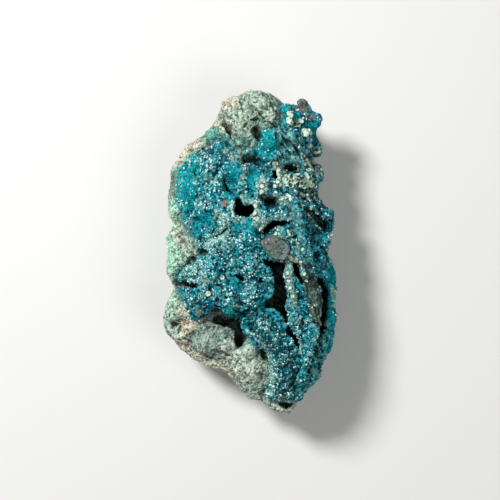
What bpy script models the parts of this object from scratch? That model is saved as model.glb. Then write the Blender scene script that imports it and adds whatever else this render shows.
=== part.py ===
"""A hand specimen of chrysocolla: a blue, lumpy crust grown over a broken piece of pale host rock.

The specimen lies on its back. +Z points out of the display face, +Y runs along its length
towards the pale knob at the top, and the origin is at the middle of the base that it rests on.
Plan positions below are millimetres from that origin, and heights are millimetres above the base.
"""

import math
import random

import bmesh
import bpy
from mathutils import Euler, Matrix, Vector, noise

MM = 0.001

# Driving dimensions.
EDGE_LEVEL = 9.0  # height of the widest girth, where the front and the back meet
EDGE_ROUNDING = 6.5  # how far in from the edge the faces reach their full height
EDGE_BLUNTNESS = 0.9  # keeps a broken wall along the edge instead of a knife edge
CRUST_THICKNESS = 1.7  # of the sheet that the crust's lumps stand on
CRUST_RISE = 0.35  # how far the top of that sheet stands above the rock face
CRUST_SPACING = 2.3  # between neighbouring lumps of the crust
LUMP_HEIGHT = 1.35  # from the centre of a lump to its top
BED_CLEARANCE = 0.7  # how much wider than the crust its bed in the rock is cut
PIT_CLEARANCE = 0.2  # how much wider the pits are in the rock than in the crust
SADDLE_REACH = 3.2  # how far the influence of a height mark spreads over the face
BASE_DEPTH = 0.8  # what is planed off the underside to leave the resting face
STUB_TOP = 22.0  # height of the flat end of the broken stalactite
STUB_FOOT = 16.5
STUB_FLARE = 0.4  # how much wider the stub is at its foot
STUB_LEAN = (0.06, 0.10, 0.0)  # about X and Y, in radians
STUB_MOAT = 1.3  # bare ring around the stub

# How rough the broken rock is.
FACE_ROUGHNESS = 0.4  # height of the unevenness on the front face
BACK_ROUGHNESS = 0.8
ROUGHNESS_SCALE = 0.22  # of its pattern, per millimetre
RIDGE_HEIGHT = 0.7  # of the ridges on the sides and the back
RIDGE_SCALE = 0.16
RIDGE_FADE = 3.0  # below the girth, until the ridges reach their full height
BREAK_SHARPNESS = 0.92  # 1 breaks the planes off clean, 0 leaves the rock round

# How uneven the crust's lumps are.
LUMP_JITTER = 0.6  # out of the even rows
LUMP_SIZES = (0.8, 1.2)  # smallest and largest, as a share of the even size
LUMP_LIFTS = (0.15, 0.85)  # of a lump's centre over the rock face
LUMP_RADIUS = 1.35
LUMP_MARGIN = 0.7  # between the crust's edge and the middle of its outermost lumps
RIDGE_SWELL = 0.2  # how much a ridge's lumps differ, as a share of its radius

# How the pits are cut.
PIT_MOUTH = 4.5  # how far over the rock face a pit's cutter starts
PIT_STEP = 0.8  # between neighbouring lumps of the cutter, as a share of its radius
PIT_BELLY = 0.25  # how much a pit widens below its mouth
PIT_SWAY = 0.25  # how far it wanders sideways, as a share of its radius

# Fineness of the solids.
SLAB_VOXEL = 0.8
SLAB_HALF = 2 * SLAB_VOXEL
FUSE_VOXEL = 0.38
CUTTER_VOXEL = 0.35
ROCK_TRIANGLES = 4000
CRUST_TRIANGLES = 5700
LUMP_BATCH = 40
FLOOR_CUTTER_SIZE = (120.0, 120.0, 40.0)

ROCK_OUTLINE = (
    (-5.4, 33.2), (-1.5, 33.9), (-0.4, 34.9), (1.7, 34.9), (4.5, 34.3), (7.3, 31.9),
    (10.0, 30.3), (12.4, 27.5), (13.2, 24.0), (14.2, 19.0), (14.4, 14.0), (14.4, 11.2),
    (16.8, 8.8), (17.0, 6.0), (16.9, 3.2), (16.2, 0.5), (16.4, -2.0), (17.5, -5.0), (18.0, -10.0),
    (17.8, -15.0), (17.0, -20.5), (15.2, -22.5), (15.0, -25.7), (13.5, -28.5), (11.0, -31.0),
    (10.1, -32.6), (9.5, -34.5), (7.7, -34.9), (5.6, -34.5), (3.2, -32.6), (2.6, -31.0),
    (1.5, -32.1), (0.0, -31.5), (-1.9, -29.6), (-4.9, -26.3), (-7.1, -25.3), (-9.5, -24.4),
    (-13.1, -22.7), (-15.9, -19.5), (-18.3, -17.3), (-18.9, -14.1), (-17.6, -10.2),
    (-16.6, -8.3), (-14.8, -7.4), (-17.2, -6.3), (-18.3, -4.4), (-17.8, -0.8), (-17.6, 3.8),
    (-16.0, 6.1), (-17.4, 7.8), (-17.6, 10.6), (-17.4, 13.9), (-17.0, 17.1), (-15.5, 20.5),
    (-13.8, 23.3), (-11.2, 24.0), (-8.0, 27.6), (-6.2, 30.0),
)

CRUST_OUTLINE = (
    (6.6, 32.0), (9.9, 31.9), (11.8, 31.1), (14.6, 28.9), (13.8, 25.9), (15.1, 22.9),
    (15.1, 18.8), (15.9, 16.4), (14.8, 13.4), (14.6, 11.3), (17.6, 8.7), (17.8, 5.9),
    (17.2, 2.7), (16.3, 0.1), (17.6, -3.3), (18.1, -8.1), (18.1, -14.5), (17.4, -21.2),
    (15.5, -22.7), (15.3, -26.1), (11.4, -30.9), (9.0, -32.1), (6.0, -31.7), (4.5, -30.0),
    (5.2, -27.0), (5.6, -24.4), (4.5, -21.4), (2.6, -19.0), (0.0, -16.7), (-2.2, -14.5),
    (-5.4, -13.9), (-8.0, -13.0), (-9.7, -14.3), (-11.4, -15.2), (-12.9, -12.6),
    (-14.2, -9.4), (-15.5, -7.8), (-15.5, -5.1), (-14.2, -3.3), (-11.2, -2.5), (-9.9, -0.5),
    (-10.3, 2.0), (-12.0, 3.5), (-13.3, 5.7), (-14.4, 8.7), (-15.1, 11.3), (-16.6, 12.8),
    (-16.3, 16.4), (-14.8, 19.0), (-12.1, 20.2), (-9.6, 21.9), (-7.7, 23.4), (-5.2, 23.6),
    (-2.2, 20.8), (0.1, 21.5), (2.1, 22.6), (2.7, 25.3), (4.6, 25.9), (6.6, 25.8), (7.6, 26.8),
    (6.9, 29.0),
)

# Height of the rock's front face at marks over the plan: x, y, height.
HEIGHT_MARKS = (
    (-16.0, 15.5, 14.5), (-16.0, 8.0, 14.0), (-15.5, 1.5, 14.0), (-16.5, -5.0, 13.5),
    (-13.0, 17.5, 16.0), (-11.0, 22.0, 16.0), (-7.5, 24.5, 16.5), (-4.0, 31.0, 18.0),
    (0.0, 29.5, 20.5), (1.0, 33.0, 18.0), (-1.0, 24.5, 19.5), (4.5, 31.5, 18.5),
    (-8.5, 11.5, 18.0), (-7.5, 5.0, 18.3), (-3.0, 2.5, 18.8), (0.0, -2.0, 19.0),
    (-2.0, -8.0, 18.5), (-9.5, -4.0, 17.5), (-5.5, 15.5, 18.3), (0.5, 14.5, 18.3),
    (1.5, 19.0, 15.8), (4.3, 24.0, 18.6), (9.5, 22.0, 16.8), (13.0, 24.0, 14.6),
    (10.5, 29.5, 16.0), (14.0, 16.5, 14.0), (10.5, 15.5, 16.8), (5.5, 10.5, 18.8),
    (10.0, 6.0, 19.3), (13.0, 0.5, 17.8), (15.0, 3.0, 14.6), (16.5, 7.0, 13.0),
    (8.6, -6.0, 18.8), (11.8, -8.0, 18.6), (14.0, -12.0, 17.0), (17.0, -10.0, 13.4),
    (6.5, -16.5, 18.6), (10.8, -18.8, 18.6), (13.3, -21.0, 16.8), (16.0, -20.0, 12.6),
    (8.0, -25.5, 17.8), (11.0, -29.5, 14.5), (7.5, -30.5, 15.0), (-7.5, -19.2, 12.8),
    (-3.0, -15.5, 12.0), (-15.0, -14.5, 15.0), (-17.0, -17.0, 12.5), (-12.0, -20.0, 13.2),
    (-1.0, -22.0, 16.6), (1.0, -27.5, 14.0), (2.0, -30.5, 12.5), (-4.5, -24.0, 13.4),
    (-11.5, -11.0, 16.6), (-6.0, -10.0, 17.6), (-12.5, 1.0, 15.6),
)

# Broken planes on the sides and the back: a point on each, and the way it faces.
BREAKS = (
    ((-15.5, 12.0, 4.0), (-0.75, 0.15, -0.65)),
    ((-16.0, -3.0, 3.5), (-0.85, -0.10, -0.50)),
    ((-12.5, -19.0, 3.0), (-0.55, -0.55, -0.63)),
    ((-1.0, -28.0, 3.5), (-0.50, -0.65, -0.57)),
    ((7.5, -32.0, 4.0), (0.10, -0.78, -0.62)),
    ((14.5, -22.0, 3.0), (0.72, -0.35, -0.60)),
    ((16.0, -8.0, 3.5), (0.80, 0.05, -0.60)),
    ((14.0, 8.0, 3.0), (0.66, 0.12, -0.74)),
    ((11.0, 25.0, 3.5), (0.60, 0.50, -0.62)),
    ((0.0, 32.0, 4.5), (-0.10, 0.80, -0.60)),
    ((-9.5, 24.5, 3.5), (-0.62, 0.55, -0.56)),
    ((-6.0, 18.0, 0.4), (-0.16, 0.14, -0.97)),
    ((8.0, -20.0, 0.5), (0.15, -0.10, -0.98)),
)

# Rock lumps: plan position, height of the centre, radii, turn in degrees.
ROCK_LUMPS = {
    "fibrous_lens": ((-7.3, -19.3), 12.4, (5.8, 3.1, 3.7), -8),
    "lens_shelf": ((-3.4, -21.8), 10.6, (3.0, 1.7, 3.2), 20),
    "left_bulge": ((-16.1, 8.7), 11.6, (1.5, 2.2, 2.6), 0),
    "left_wall": ((-15.8, 2.0), 11.8, (1.8, 3.6, 3.4), 4),
    "left_foot": ((-16.4, -3.2), 10.8, (1.7, 2.6, 3.2), -12),
    "pitted_shelf": ((-12.6, -0.6), 13.4, (2.0, 2.4, 2.8), 10),
    "lower_lobe": ((-15.6, -12.6), 11.6, (3.0, 3.4, 4.4), 10),
    "lower_lobe_foot": ((-14.2, -17.8), 11.0, (3.0, 2.4, 3.4), -30),
    "wedge_crest": ((0.2, -20.6), 14.8, (2.3, 1.8, 2.8), 35),
    "wedge_body": ((1.0, -25.0), 12.8, (2.3, 3.4, 3.2), -10),
    "wedge_toe": ((-2.6, -25.0), 11.6, (1.8, 2.2, 2.6), 25),
    "wedge_point": ((0.6, -30.0), 10.0, (2.0, 1.9, 2.6), 0),
    "knob_crown": ((1.6, 31.2), 16.2, (4.6, 2.8, 3.6), -14),
    "knob_face": ((-1.4, 27.6), 17.3, (3.9, 4.4, 3.9), 20),
    "knob_cheek": ((4.4, 29.0), 16.6, (2.0, 3.0, 3.3), 0),
    "knob_brow": ((-2.6, 31.6), 16.0, (2.2, 1.9, 3.2), 0),
    "knob_corner": ((-4.8, 31.4), 14.6, (1.4, 1.7, 2.8), 0),
    "shoulder_rim": ((-9.4, 23.6), 13.6, (3.4, 1.7, 3.0), 35),
    "tip_fringe": ((6.9, -33.6), 10.0, (2.8, 1.2, 2.6), -6),
}

# Crust lumps: plan position, lift over the rock face, radii.
CRUST_LUMPS = {
    "smooth_mound": ((-3.2, 17.3), 1.0, (2.2, 2.3, 1.9)),
    "upper_mound": ((-9.6, 17.6), 0.6, (3.4, 2.9, 2.1)),
    "left_mound": ((-12.2, 12.8), 0.5, (3.0, 3.4, 2.0)),
    "middle_mound": ((-8.6, 9.4), 0.7, (3.2, 3.0, 2.1)),
    "hole_mound": ((-4.2, 7.6), 0.7, (1.9, 2.8, 2.0)),
    "ledge_mound": ((-5.6, 1.6), 0.7, (3.4, 1.8, 2.0)),
    "field_mound_1": ((-0.6, 2.2), 0.8, (2.2, 3.0, 2.0)),
    "field_mound_2": ((-7.4, -3.4), 0.6, (3.2, 2.8, 2.1)),
    "field_mound_3": ((-0.4, -2.6), 0.8, (2.8, 2.0, 2.0)),
    "field_mound_4": ((-10.4, -9.2), 0.6, (3.6, 2.9, 2.1)),
    "field_mound_5": ((0.6, -9.2), 0.6, (2.6, 3.0, 2.1)),
    "field_mound_6": ((-4.2, -9.4), 0.7, (2.0, 2.6, 2.0)),
    "edge_bead": ((-4.7, -13.0), 0.9, (1.3, 1.2, 1.3)),
    "bright_mound": ((4.3, 23.6), 1.3, (1.6, 2.1, 2.0)),
    "bright_foot": ((4.9, 20.8), 0.9, (1.5, 1.7, 1.8)),
    "striped_mound": ((9.0, 23.4), 0.7, (2.4, 2.6, 2.0)),
    "nest_lump": ((7.0, 4.2), 0.5, (1.4, 1.2, 1.9)),
    "cream_1": ((8.6, 15.9), 1.9, (1.1, 1.1, 1.2)),
    "cream_2": ((10.2, 15.6), 2.2, (1.3, 1.2, 1.3)),
    "cream_3": ((11.9, 14.6), 2.0, (1.2, 1.1, 1.2)),
    "cream_4": ((12.2, 16.6), 2.0, (1.1, 1.0, 1.1)),
    "cream_5": ((13.4, 14.4), 1.5, (1.0, 1.0, 1.1)),
    "cream_6": ((9.6, 13.8), 1.6, (0.9, 0.9, 1.1)),
    "cream_7": ((8.6, 29.4), 1.8, (1.0, 1.2, 1.2)),
    "cream_8": ((8.4, 27.8), 1.7, (1.0, 0.9, 1.1)),
    "cream_9": ((10.8, 27.8), 1.6, (1.2, 0.9, 1.1)),
    "cream_10": ((12.0, 25.8), 1.8, (1.2, 1.3, 1.3)),
    "bubble": ((11.2, 31.8), 2.0, (1.2, 1.2, 1.4)),
    "bubble_neck": ((12.2, 30.3), 1.6, (1.2, 1.2, 1.5)),
    "hooded_lobe": ((14.1, 28.4), 1.5, (1.5, 1.8, 1.7)),
    "edge_lobe_1": ((14.4, 22.2), 0.6, (1.2, 1.6, 1.8)),
    "edge_lobe_2": ((14.4, 17.0), 0.8, (1.6, 1.7, 1.8)),
    "edge_lobe_3": ((16.7, 8.3), 0.9, (1.5, 1.2, 1.6)),
    "edge_lobe_4": ((17.3, 5.9), 0.3, (0.9, 1.5, 1.5)),
    "edge_lobe_5": ((15.4, 2.4), 0.8, (1.9, 1.7, 1.8)),
    "tail_lump": ((9.5, -30.2), 0.6, (1.9, 1.6, 1.8)),
}

# Crust ridges: route over the plan, radius, lift over the rock face.
CRUST_RIDGES = {
    "white_spur": (((4.7, 19.4), (5.4, 17.4), (6.6, 15.6), (7.8, 13.6)), 0.75, 1.7),
    "dip_arch": (((3.0, 15.6), (2.5, 13.4), (3.6, 12.2), (5.6, 11.7), (7.4, 12.2)), 0.85, 1.6),
    "nest_arch": (((1.4, 8.4), (1.7, 6.4), (3.0, 7.5), (5.4, 8.0), (7.8, 7.9), (9.4, 6.8)), 0.85, 1.5),
    "grey_band": (((8.6, 13.0), (10.2, 8.2), (10.9, 4.6), (11.8, 0.0), (12.7, -4.6), (13.6, -9.4),
                   (14.0, -13.0)), 1.15, 1.9),
    "vug_strip": (((8.1, -2.9), (8.3, -4.9), (8.9, -7.5), (9.6, -9.8)), 0.65, 1.3),
    "lower_rim": (((-1.6, -15.8), (1.6, -18.6), (3.5, -21.2), (4.7, -23.6), (5.2, -25.8),
                   (4.8, -28.4), (4.1, -30.6)), 0.75, 1.2),
    "tongue_spine": (((2.6, -15.4), (5.6, -19.6), (7.0, -24.0), (7.4, -29.0)), 1.8, 0.9),
    "plate_edge": (((11.0, -10.8), (13.1, -14.9), (12.4, -19.9), (11.8, -23.6), (10.9, -26.9)), 1.1, 1.8),
    "right_wall": (((16.4, -2.0), (17.3, -4.5), (17.4, -8.0), (17.3, -13.0), (17.2, -17.0),
                    (16.6, -20.4)), 0.95, 0.6),
}

# Pits and clefts: route over the plan, radius at the mouth, height of the floor.
PITS = {
    "main_vug_neck": (((2.7, -1.6), (4.4, -2.6), (6.8, -2.9)), 0.80, 13.0),
    "main_vug_top": (((6.0, -3.7), (5.9, -5.8)), 1.50, 9.5),
    "main_vug": (((5.8, -6.8), (5.8, -9.6)), 1.95, 8.5),
    "main_vug_foot": (((4.3, -11.0), (6.3, -11.5)), 1.15, 10.0),
    "main_vug_tail": (((6.8, -12.4), (7.8, -14.4)), 0.80, 13.0),
    "side_slot": (((9.2, -2.5), (9.8, -3.9), (10.3, -5.0), (10.8, -6.3)), 0.62, 13.0),
    "nest": (((3.2, 4.1), (3.8, 5.5), (5.2, 6.3), (7.0, 6.4), (8.0, 6.1)), 0.72, 13.6),
    "nest_slit": (((9.2, 4.2), (9.7, 2.8)), 0.50, 15.0),
    "angled_hole_arm": (((-2.4, 11.3), (-2.6, 9.6)), 0.80, 14.0),
    "angled_hole": (((-2.4, 8.7), (0.1, 8.9)), 1.10, 12.0),
    "dark_dip": (((3.2, 11.3), (4.9, 10.3)), 1.15, 16.6),
    "upper_dip": (((-0.8, 19.9), (0.4, 19.5), (2.1, 18.9)), 1.00, 16.0),
    "upper_dip_eye": (((5.0, 17.3), (5.2, 16.2)), 0.80, 12.5),
    "cream_shadow": (((7.8, 17.9), (9.9, 17.9)), 0.55, 15.0),
    "left_crack": (((-5.9, 16.2), (-5.3, 14.6), (-4.6, 13.0)), 0.42, 15.8),
    "ledge_crevice": (((-10.2, 3.4), (-8.2, 3.1), (-5.9, 3.9), (-4.6, 5.2)), 0.36, 16.8),
    "low_crevice": (((-9.6, 0.7), (-7.9, 0.2)), 0.45, 16.4),
    "field_crevice": (((-3.0, -4.9), (-2.1, -5.2), (-1.2, -6.1)), 0.50, 16.0),
    "edge_hole_1": (((11.8, 8.8), (13.2, 8.4)), 0.95, 9.5),
    "edge_hole_2": (((14.3, 6.6), (15.5, 6.0)), 1.15, 10.6),
    "lobe_hole": (((14.8, 1.4), (15.0, 1.2)), 0.60, 12.0),
    "edge_notch": (((13.4, 19.8), (17.0, 19.8)), 0.80, 9.0),
    "ring_lobe_gap": (((14.3, 22.5), (14.4, 21.8)), 0.50, 12.5),
    "right_slot": (((14.5, -6.0), (15.5, -6.4), (16.0, -10.2), (15.7, -13.4), (15.1, -16.7)), 0.75, 8.0),
    "right_groove": (((14.8, -17.0), (14.2, -20.0), (13.2, -23.0), (12.4, -26.0)), 0.42, 14.8),
    "tongue_crevice": (((8.1, -16.6), (9.3, -17.9), (10.2, -19.6)), 0.75, 14.2),
    "tongue_line": (((10.5, -20.4), (10.8, -22.7), (10.1, -25.4), (9.2, -27.2)), 0.36, 17.0),
    "field_pit_1": (((-4.9, -9.0), (-4.7, -9.9)), 0.45, 16.8),
    "field_pit_2": (((2.0, -5.5), (2.4, -5.9)), 0.45, 16.6),
    "field_pit_3": (((-2.8, -10.2), (-2.2, -11.3)), 0.48, 16.6),
    "mauve_hollow": (((-8.0, -12.2), (-6.3, -12.8)), 0.80, 15.4),
    "lens_hollow": (((-7.6, -14.6), (-4.6, -14.8), (-2.6, -15.8), (-1.7, -17.6), (-2.3, -19.8)), 0.78, 9.0),
    "wedge_gap": (((2.7, -20.8), (3.5, -22.6), (3.9, -24.6)), 0.42, 14.8),
    "olive_groove": (((-6.9, 28.6), (-6.0, 28.0), (-4.9, 26.4), (-3.9, 24.9)), 0.42, 15.2),
    "knob_slit": (((0.9, 25.8), (1.3, 24.2)), 0.36, 17.2),
    "tip_cave": (((6.8, -32.6), (8.0, -32.5)), 0.60, 10.0),
    "left_cleft": (((-19.0, -7.4), (-16.2, -7.2), (-13.9, -6.7), (-11.4, -7.1)), 0.62, 9.6),
    "lobe_pit": (((-16.4, -15.4), (-16.3, -15.7)), 0.60, 11.8),
    "wall_pit_1": (((-12.9, -1.8), (-12.4, -1.6)), 0.50, 14.0),
    "wall_pit_2": (((-9.8, 1.0), (-9.5, -0.9)), 0.42, 14.4),
}

# The stub of a broken stalactite, cut flat: plan positions of its two lobes and their radii.
STUB_LOBES = (((4.1, 2.1), 1.6), ((5.6, 0.8), 2.0))


def clear_scene():
    for obj in list(bpy.data.objects):
        bpy.data.objects.remove(obj, do_unlink=True)


def collection_named(name):
    made = bpy.data.collections.new(name)
    bpy.context.scene.collection.children.link(made)
    return made


def principled(name, colour, roughness):
    material = bpy.data.materials.new(name)
    material.use_nodes = True
    shader = material.node_tree.nodes["Principled BSDF"]
    shader.inputs["Base Color"].default_value = (*colour, 1.0)
    shader.inputs["Roughness"].default_value = roughness
    shader.inputs["Metallic"].default_value = 0.0
    return material


# Measuring over the plan.
def distance_to_loop(loop, x, y):
    """The shortest way in the plan from a point to a closed outline."""
    nearest = math.inf
    for (ax, ay), (bx, by) in zip(loop, loop[1:] + loop[:1]):
        dx, dy = bx - ax, by - ay
        share = ((x - ax) * dx + (y - ay) * dy) / (dx * dx + dy * dy)
        share = min(max(share, 0.0), 1.0)
        nearest = min(nearest, math.hypot(x - ax - share * dx, y - ay - share * dy))
    return nearest


def inside_loop(loop, x, y):
    inside = False
    for (ax, ay), (bx, by) in zip(loop, loop[1:] + loop[:1]):
        if (ay > y) != (by > y) and x < ax + (y - ay) * (bx - ax) / (by - ay):
            inside = not inside
    return inside


def marked_height(x, y):
    """The rock face's height, blended from the marks nearest to a point."""
    total = weight_sum = 0.0
    for mark_x, mark_y, height in HEIGHT_MARKS:
        gap = (x - mark_x) ** 2 + (y - mark_y) ** 2
        weight = math.exp(-gap / (2 * SADDLE_REACH**2)) + 1e-7
        total += weight * height
        weight_sum += weight
    return total / weight_sum


def edge_share(inset):
    """How much of its full height a face has reached at a distance in from the edge."""
    reach = min((inset + EDGE_BLUNTNESS) / EDGE_ROUNDING, 1.0)
    return math.sqrt(1.0 - (1.0 - reach) ** 2)


def face_height(x, y):
    inset = distance_to_loop(ROCK_OUTLINE, x, y) if inside_loop(ROCK_OUTLINE, x, y) else 0.0
    return EDGE_LEVEL + (marked_height(x, y) - EDGE_LEVEL) * edge_share(inset)


# Building blocks.
def add_lumps(shape, lumps, detail=2):
    """Adds ellipsoids, each a centre and radii in millimetres and a turn in degrees.

    They are made a small batch at a time, which is much quicker than all in one mesh.
    """
    for start in range(0, len(lumps), LUMP_BATCH):
        batch = bmesh.new()
        for centre, radii, turn in lumps[start : start + LUMP_BATCH]:
            turned = Euler((0, 0, math.radians(turn)))
            place = Matrix.LocRotScale(Vector(centre) * MM, turned, Vector(radii) * MM)
            bmesh.ops.create_icosphere(batch, subdivisions=detail, radius=1.0, matrix=place)
        mesh = bpy.data.meshes.new("batch")
        batch.to_mesh(mesh)
        batch.free()
        shape.from_mesh(mesh)
        bpy.data.meshes.remove(mesh)


def along(route, step):
    """Points along a route over the plan, evenly spaced by about a step."""
    points = []
    for start, end in zip(route, route[1:]):
        length = math.dist(start, end)
        count = max(1, round(length / step))
        for i in range(count):
            share = i / count
            points.append(tuple(a + (b - a) * share for a, b in zip(start, end)))
    points.append(route[-1])
    return points


def mesh_object(name, shape, home):
    mesh = bpy.data.meshes.new(name)
    shape.to_mesh(mesh)
    shape.free()
    obj = bpy.data.objects.new(name, mesh)
    home.objects.link(obj)
    return obj


def apply_modifiers(obj):
    """Gives the object the mesh that its modifiers make, and takes them off."""
    graph = bpy.context.evaluated_depsgraph_get()
    mesh = bpy.data.meshes.new_from_object(obj.evaluated_get(graph))
    obj.modifiers.clear()
    old, obj.data = obj.data, mesh
    mesh.name = obj.name
    bpy.data.meshes.remove(old)


def keep_largest_piece(obj):
    """Drops loose crumbs and sealed bubbles, so that one closed skin is left."""
    shape = bmesh.new()
    shape.from_mesh(obj.data)
    waiting, pieces = set(shape.verts), []
    while waiting:
        piece, front = set(), [waiting.pop()]
        while front:
            vert = front.pop()
            piece.add(vert)
            near = {edge.other_vert(vert) for edge in vert.link_edges} & waiting
            waiting -= near
            front.extend(near)
        pieces.append(piece)
    largest = max(pieces, key=len)
    loose = [vert for vert in shape.verts if vert not in largest]
    bmesh.ops.delete(shape, geom=loose, context="VERTS")
    shape.to_mesh(obj.data)
    shape.free()


def fuse(obj, voxel, smoothing):
    """Joins the overlapping shapes of one mesh into a single skin, and softens it."""
    remesh = obj.modifiers.new("Fuse", "REMESH")
    remesh.mode = "VOXEL"
    remesh.voxel_size = voxel * MM
    if smoothing:
        soften = obj.modifiers.new("Soften", "SMOOTH")
        soften.factor = 0.5
        soften.iterations = smoothing
    apply_modifiers(obj)
    keep_largest_piece(obj)


def combine(obj, operation, helper):
    step = obj.modifiers.new("Combine", "BOOLEAN")
    step.operation = operation
    step.object = helper
    apply_modifiers(obj)


def thin_out(obj, triangles):
    """Brings the mesh down to about a number of triangles."""
    obj.data.calc_loop_triangles()
    thin = obj.modifiers.new("Thin", "DECIMATE")
    thin.ratio = triangles / len(obj.data.loop_triangles)
    thin.use_collapse_triangulate = True
    apply_modifiers(obj)


def outline_slab(name, outline, home):
    """A flat slab in the shape of an outline, remeshed so that it can be sculpted."""
    curve = bpy.data.curves.new(name, "CURVE")
    curve.dimensions = "2D"
    curve.fill_mode = "BOTH"
    curve.extrude = SLAB_HALF * MM
    spline = curve.splines.new("POLY")
    spline.points.add(len(outline) - 1)
    for point, (x, y) in zip(spline.points, outline):
        point.co = (x * MM, y * MM, 0.0, 1.0)
    spline.use_cyclic_u = True
    guide = bpy.data.objects.new(name, curve)
    home.objects.link(guide)
    graph = bpy.context.evaluated_depsgraph_get()
    mesh = bpy.data.meshes.new_from_object(guide.evaluated_get(graph))
    bpy.data.objects.remove(guide)
    shape = bmesh.new()
    shape.from_mesh(mesh)
    bpy.data.meshes.remove(mesh)
    bmesh.ops.remove_doubles(shape, verts=shape.verts, dist=0.01 * MM)
    slab = mesh_object(name, shape, home)
    fuse(slab, SLAB_VOXEL, 0)
    return slab


def slab_level(z):
    """Where in a flat slab's thickness a height lies, from -1 at its underside to 1 at its top."""
    return max(-1.0, min(1.0, z / SLAB_HALF))


def shape_of(obj):
    """The object's mesh as an editable shape. The object itself is taken out of the scene."""
    shape = bmesh.new()
    shape.from_mesh(obj.data)
    bpy.data.objects.remove(obj)
    return shape


# The rock.
def rock_slab(home):
    """The rock's bulk: front face at its marked heights, flat planes broken off its back."""
    slab = outline_slab("rock_slab", ROCK_OUTLINE, home)
    planes = [(Vector(point), Vector(facing).normalized()) for point, facing in BREAKS]
    for vert in slab.data.vertices:
        x, y, z = vert.co / MM
        level = slab_level(z)
        inset = distance_to_loop(ROCK_OUTLINE, x, y) if inside_loop(ROCK_OUTLINE, x, y) else 0.0
        share = edge_share(inset)
        rough = noise.fractal(Vector((x, y, 3 * level)) * ROUGHNESS_SCALE, 1.0, 2.1, 3)
        if level > 0:
            z = EDGE_LEVEL + level * (marked_height(x, y) - EDGE_LEVEL) * share + FACE_ROUGHNESS * rough
        else:
            z = EDGE_LEVEL + level * (EDGE_LEVEL + BASE_DEPTH) * share + BACK_ROUGHNESS * rough
        spot = Vector((x, y, z))
        for point, facing in planes:
            out = (spot - point).dot(facing)
            if out > 0:
                spot -= facing * out * BREAK_SHARPNESS
        ridge = noise.ridged_multi_fractal(spot * RIDGE_SCALE, 1.0, 2.2, 3, 1.0, 2.0) - 1.0
        height = RIDGE_HEIGHT * ridge * min(max((EDGE_LEVEL - spot.z) / RIDGE_FADE, 0.0), 1.0)
        inward = Vector((-spot.x, -spot.y / 2, 0.0)).normalized()
        spot += height * (inward + Vector((0.0, 0.0, 0.8)))
        vert.co = spot * MM
    return slab


def rock_lumps():
    return [((x, y, height), radii, turn) for (x, y), height, radii, turn in ROCK_LUMPS.values()]


# The crust.
def crust_sheet(home, grown=0.0):
    """The even sheet that the crust's lumps stand on, following the rock face."""
    sheet = outline_slab("crust_sheet", CRUST_OUTLINE, home)
    half = CRUST_THICKNESS / 2
    for vert in sheet.data.vertices:
        x, y, z = vert.co / MM
        height = face_height(x, y) + CRUST_RISE - half + slab_level(z) * half
        vert.co.z = height * MM
    swell = sheet.modifiers.new("Swell", "DISPLACE")
    swell.mid_level = 0.0
    swell.strength = grown * MM
    apply_modifiers(sheet)
    return sheet


def by_stub(x, y):
    return any(math.hypot(x - sx, y - sy) < radius + STUB_MOAT for (sx, sy), radius in STUB_LOBES)


def crust_field():
    """The crust's lumps: rows of a honeycomb, each lump a little out of place and size."""
    chance = random.Random(7)
    row_gap = CRUST_SPACING * math.sqrt(3) / 2
    lumps = []
    for row in range(-20, 21):
        for column in range(-12, 13):
            x = (column + 0.5 * (row % 2)) * CRUST_SPACING + chance.uniform(-LUMP_JITTER, LUMP_JITTER)
            y = row * row_gap + chance.uniform(-LUMP_JITTER, LUMP_JITTER)
            size = chance.uniform(*LUMP_SIZES)
            lift = chance.uniform(*LUMP_LIFTS)
            room = distance_to_loop(CRUST_OUTLINE, x, y)
            if inside_loop(CRUST_OUTLINE, x, y) and room > LUMP_MARGIN and not by_stub(x, y):
                across = min(room + LUMP_MARGIN, LUMP_RADIUS * size)
                centre = (x, y, face_height(x, y) + lift)
                lumps.append((centre, (across, across, LUMP_HEIGHT * size)))
    return lumps


def crust_features():
    lumps = []
    for (x, y), lift, radii in CRUST_LUMPS.values():
        lumps.append(((x, y, face_height(x, y) + lift), radii))
    for route, radius, lift in CRUST_RIDGES.values():
        for i, (x, y) in enumerate(along(route, 0.7 * radius)):
            across = radius * (1.0 + RIDGE_SWELL * math.sin(2.3 * i))
            for drop in (0.0, 0.9 * radius):
                centre = (x, y, face_height(x, y) + lift - drop)
                lumps.append((centre, (across, across, across)))
    return lumps


def add_stub_lobe(shape, lobe, grown=0.0):
    """One lobe of the stub. The lobes lean together, so that their flat ends are level."""
    (x, y), radius = lobe
    height = STUB_TOP - STUB_FOOT + 2 * grown
    pivot = Matrix.Translation(Vector((*STUB_LOBES[0][0], STUB_FOOT - grown)) * MM)
    lean = Euler(STUB_LEAN).to_matrix().to_4x4()
    aside = Vector((x - STUB_LOBES[0][0][0], y - STUB_LOBES[0][0][1], height / 2))
    bmesh.ops.create_cone(
        shape, cap_ends=True, segments=24, depth=height * MM,
        radius1=(radius + STUB_FLARE + grown) * MM, radius2=(radius + grown) * MM,
        matrix=pivot @ lean @ Matrix.Translation(aside * MM),
    )


def stub_lobes(home):
    """The two lobes of the stub, each one a helper to be joined to the crust."""
    helpers = []
    for lobe in STUB_LOBES:
        shape = bmesh.new()
        add_stub_lobe(shape, lobe)
        helper = mesh_object("stub_lobe", shape, home)
        hide_helper(helper)
        helpers.append(helper)
    return helpers


def crust_shape(home, grown=0.0):
    """The sheet with its lumps and ridges, all grown outwards by some millimetres."""
    shape = shape_of(crust_sheet(home, grown))
    lumps = [
        (centre, [radius + grown for radius in radii], 0.0)
        for centre, radii in crust_field() + crust_features()
    ]
    add_lumps(shape, lumps)
    return shape


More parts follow.
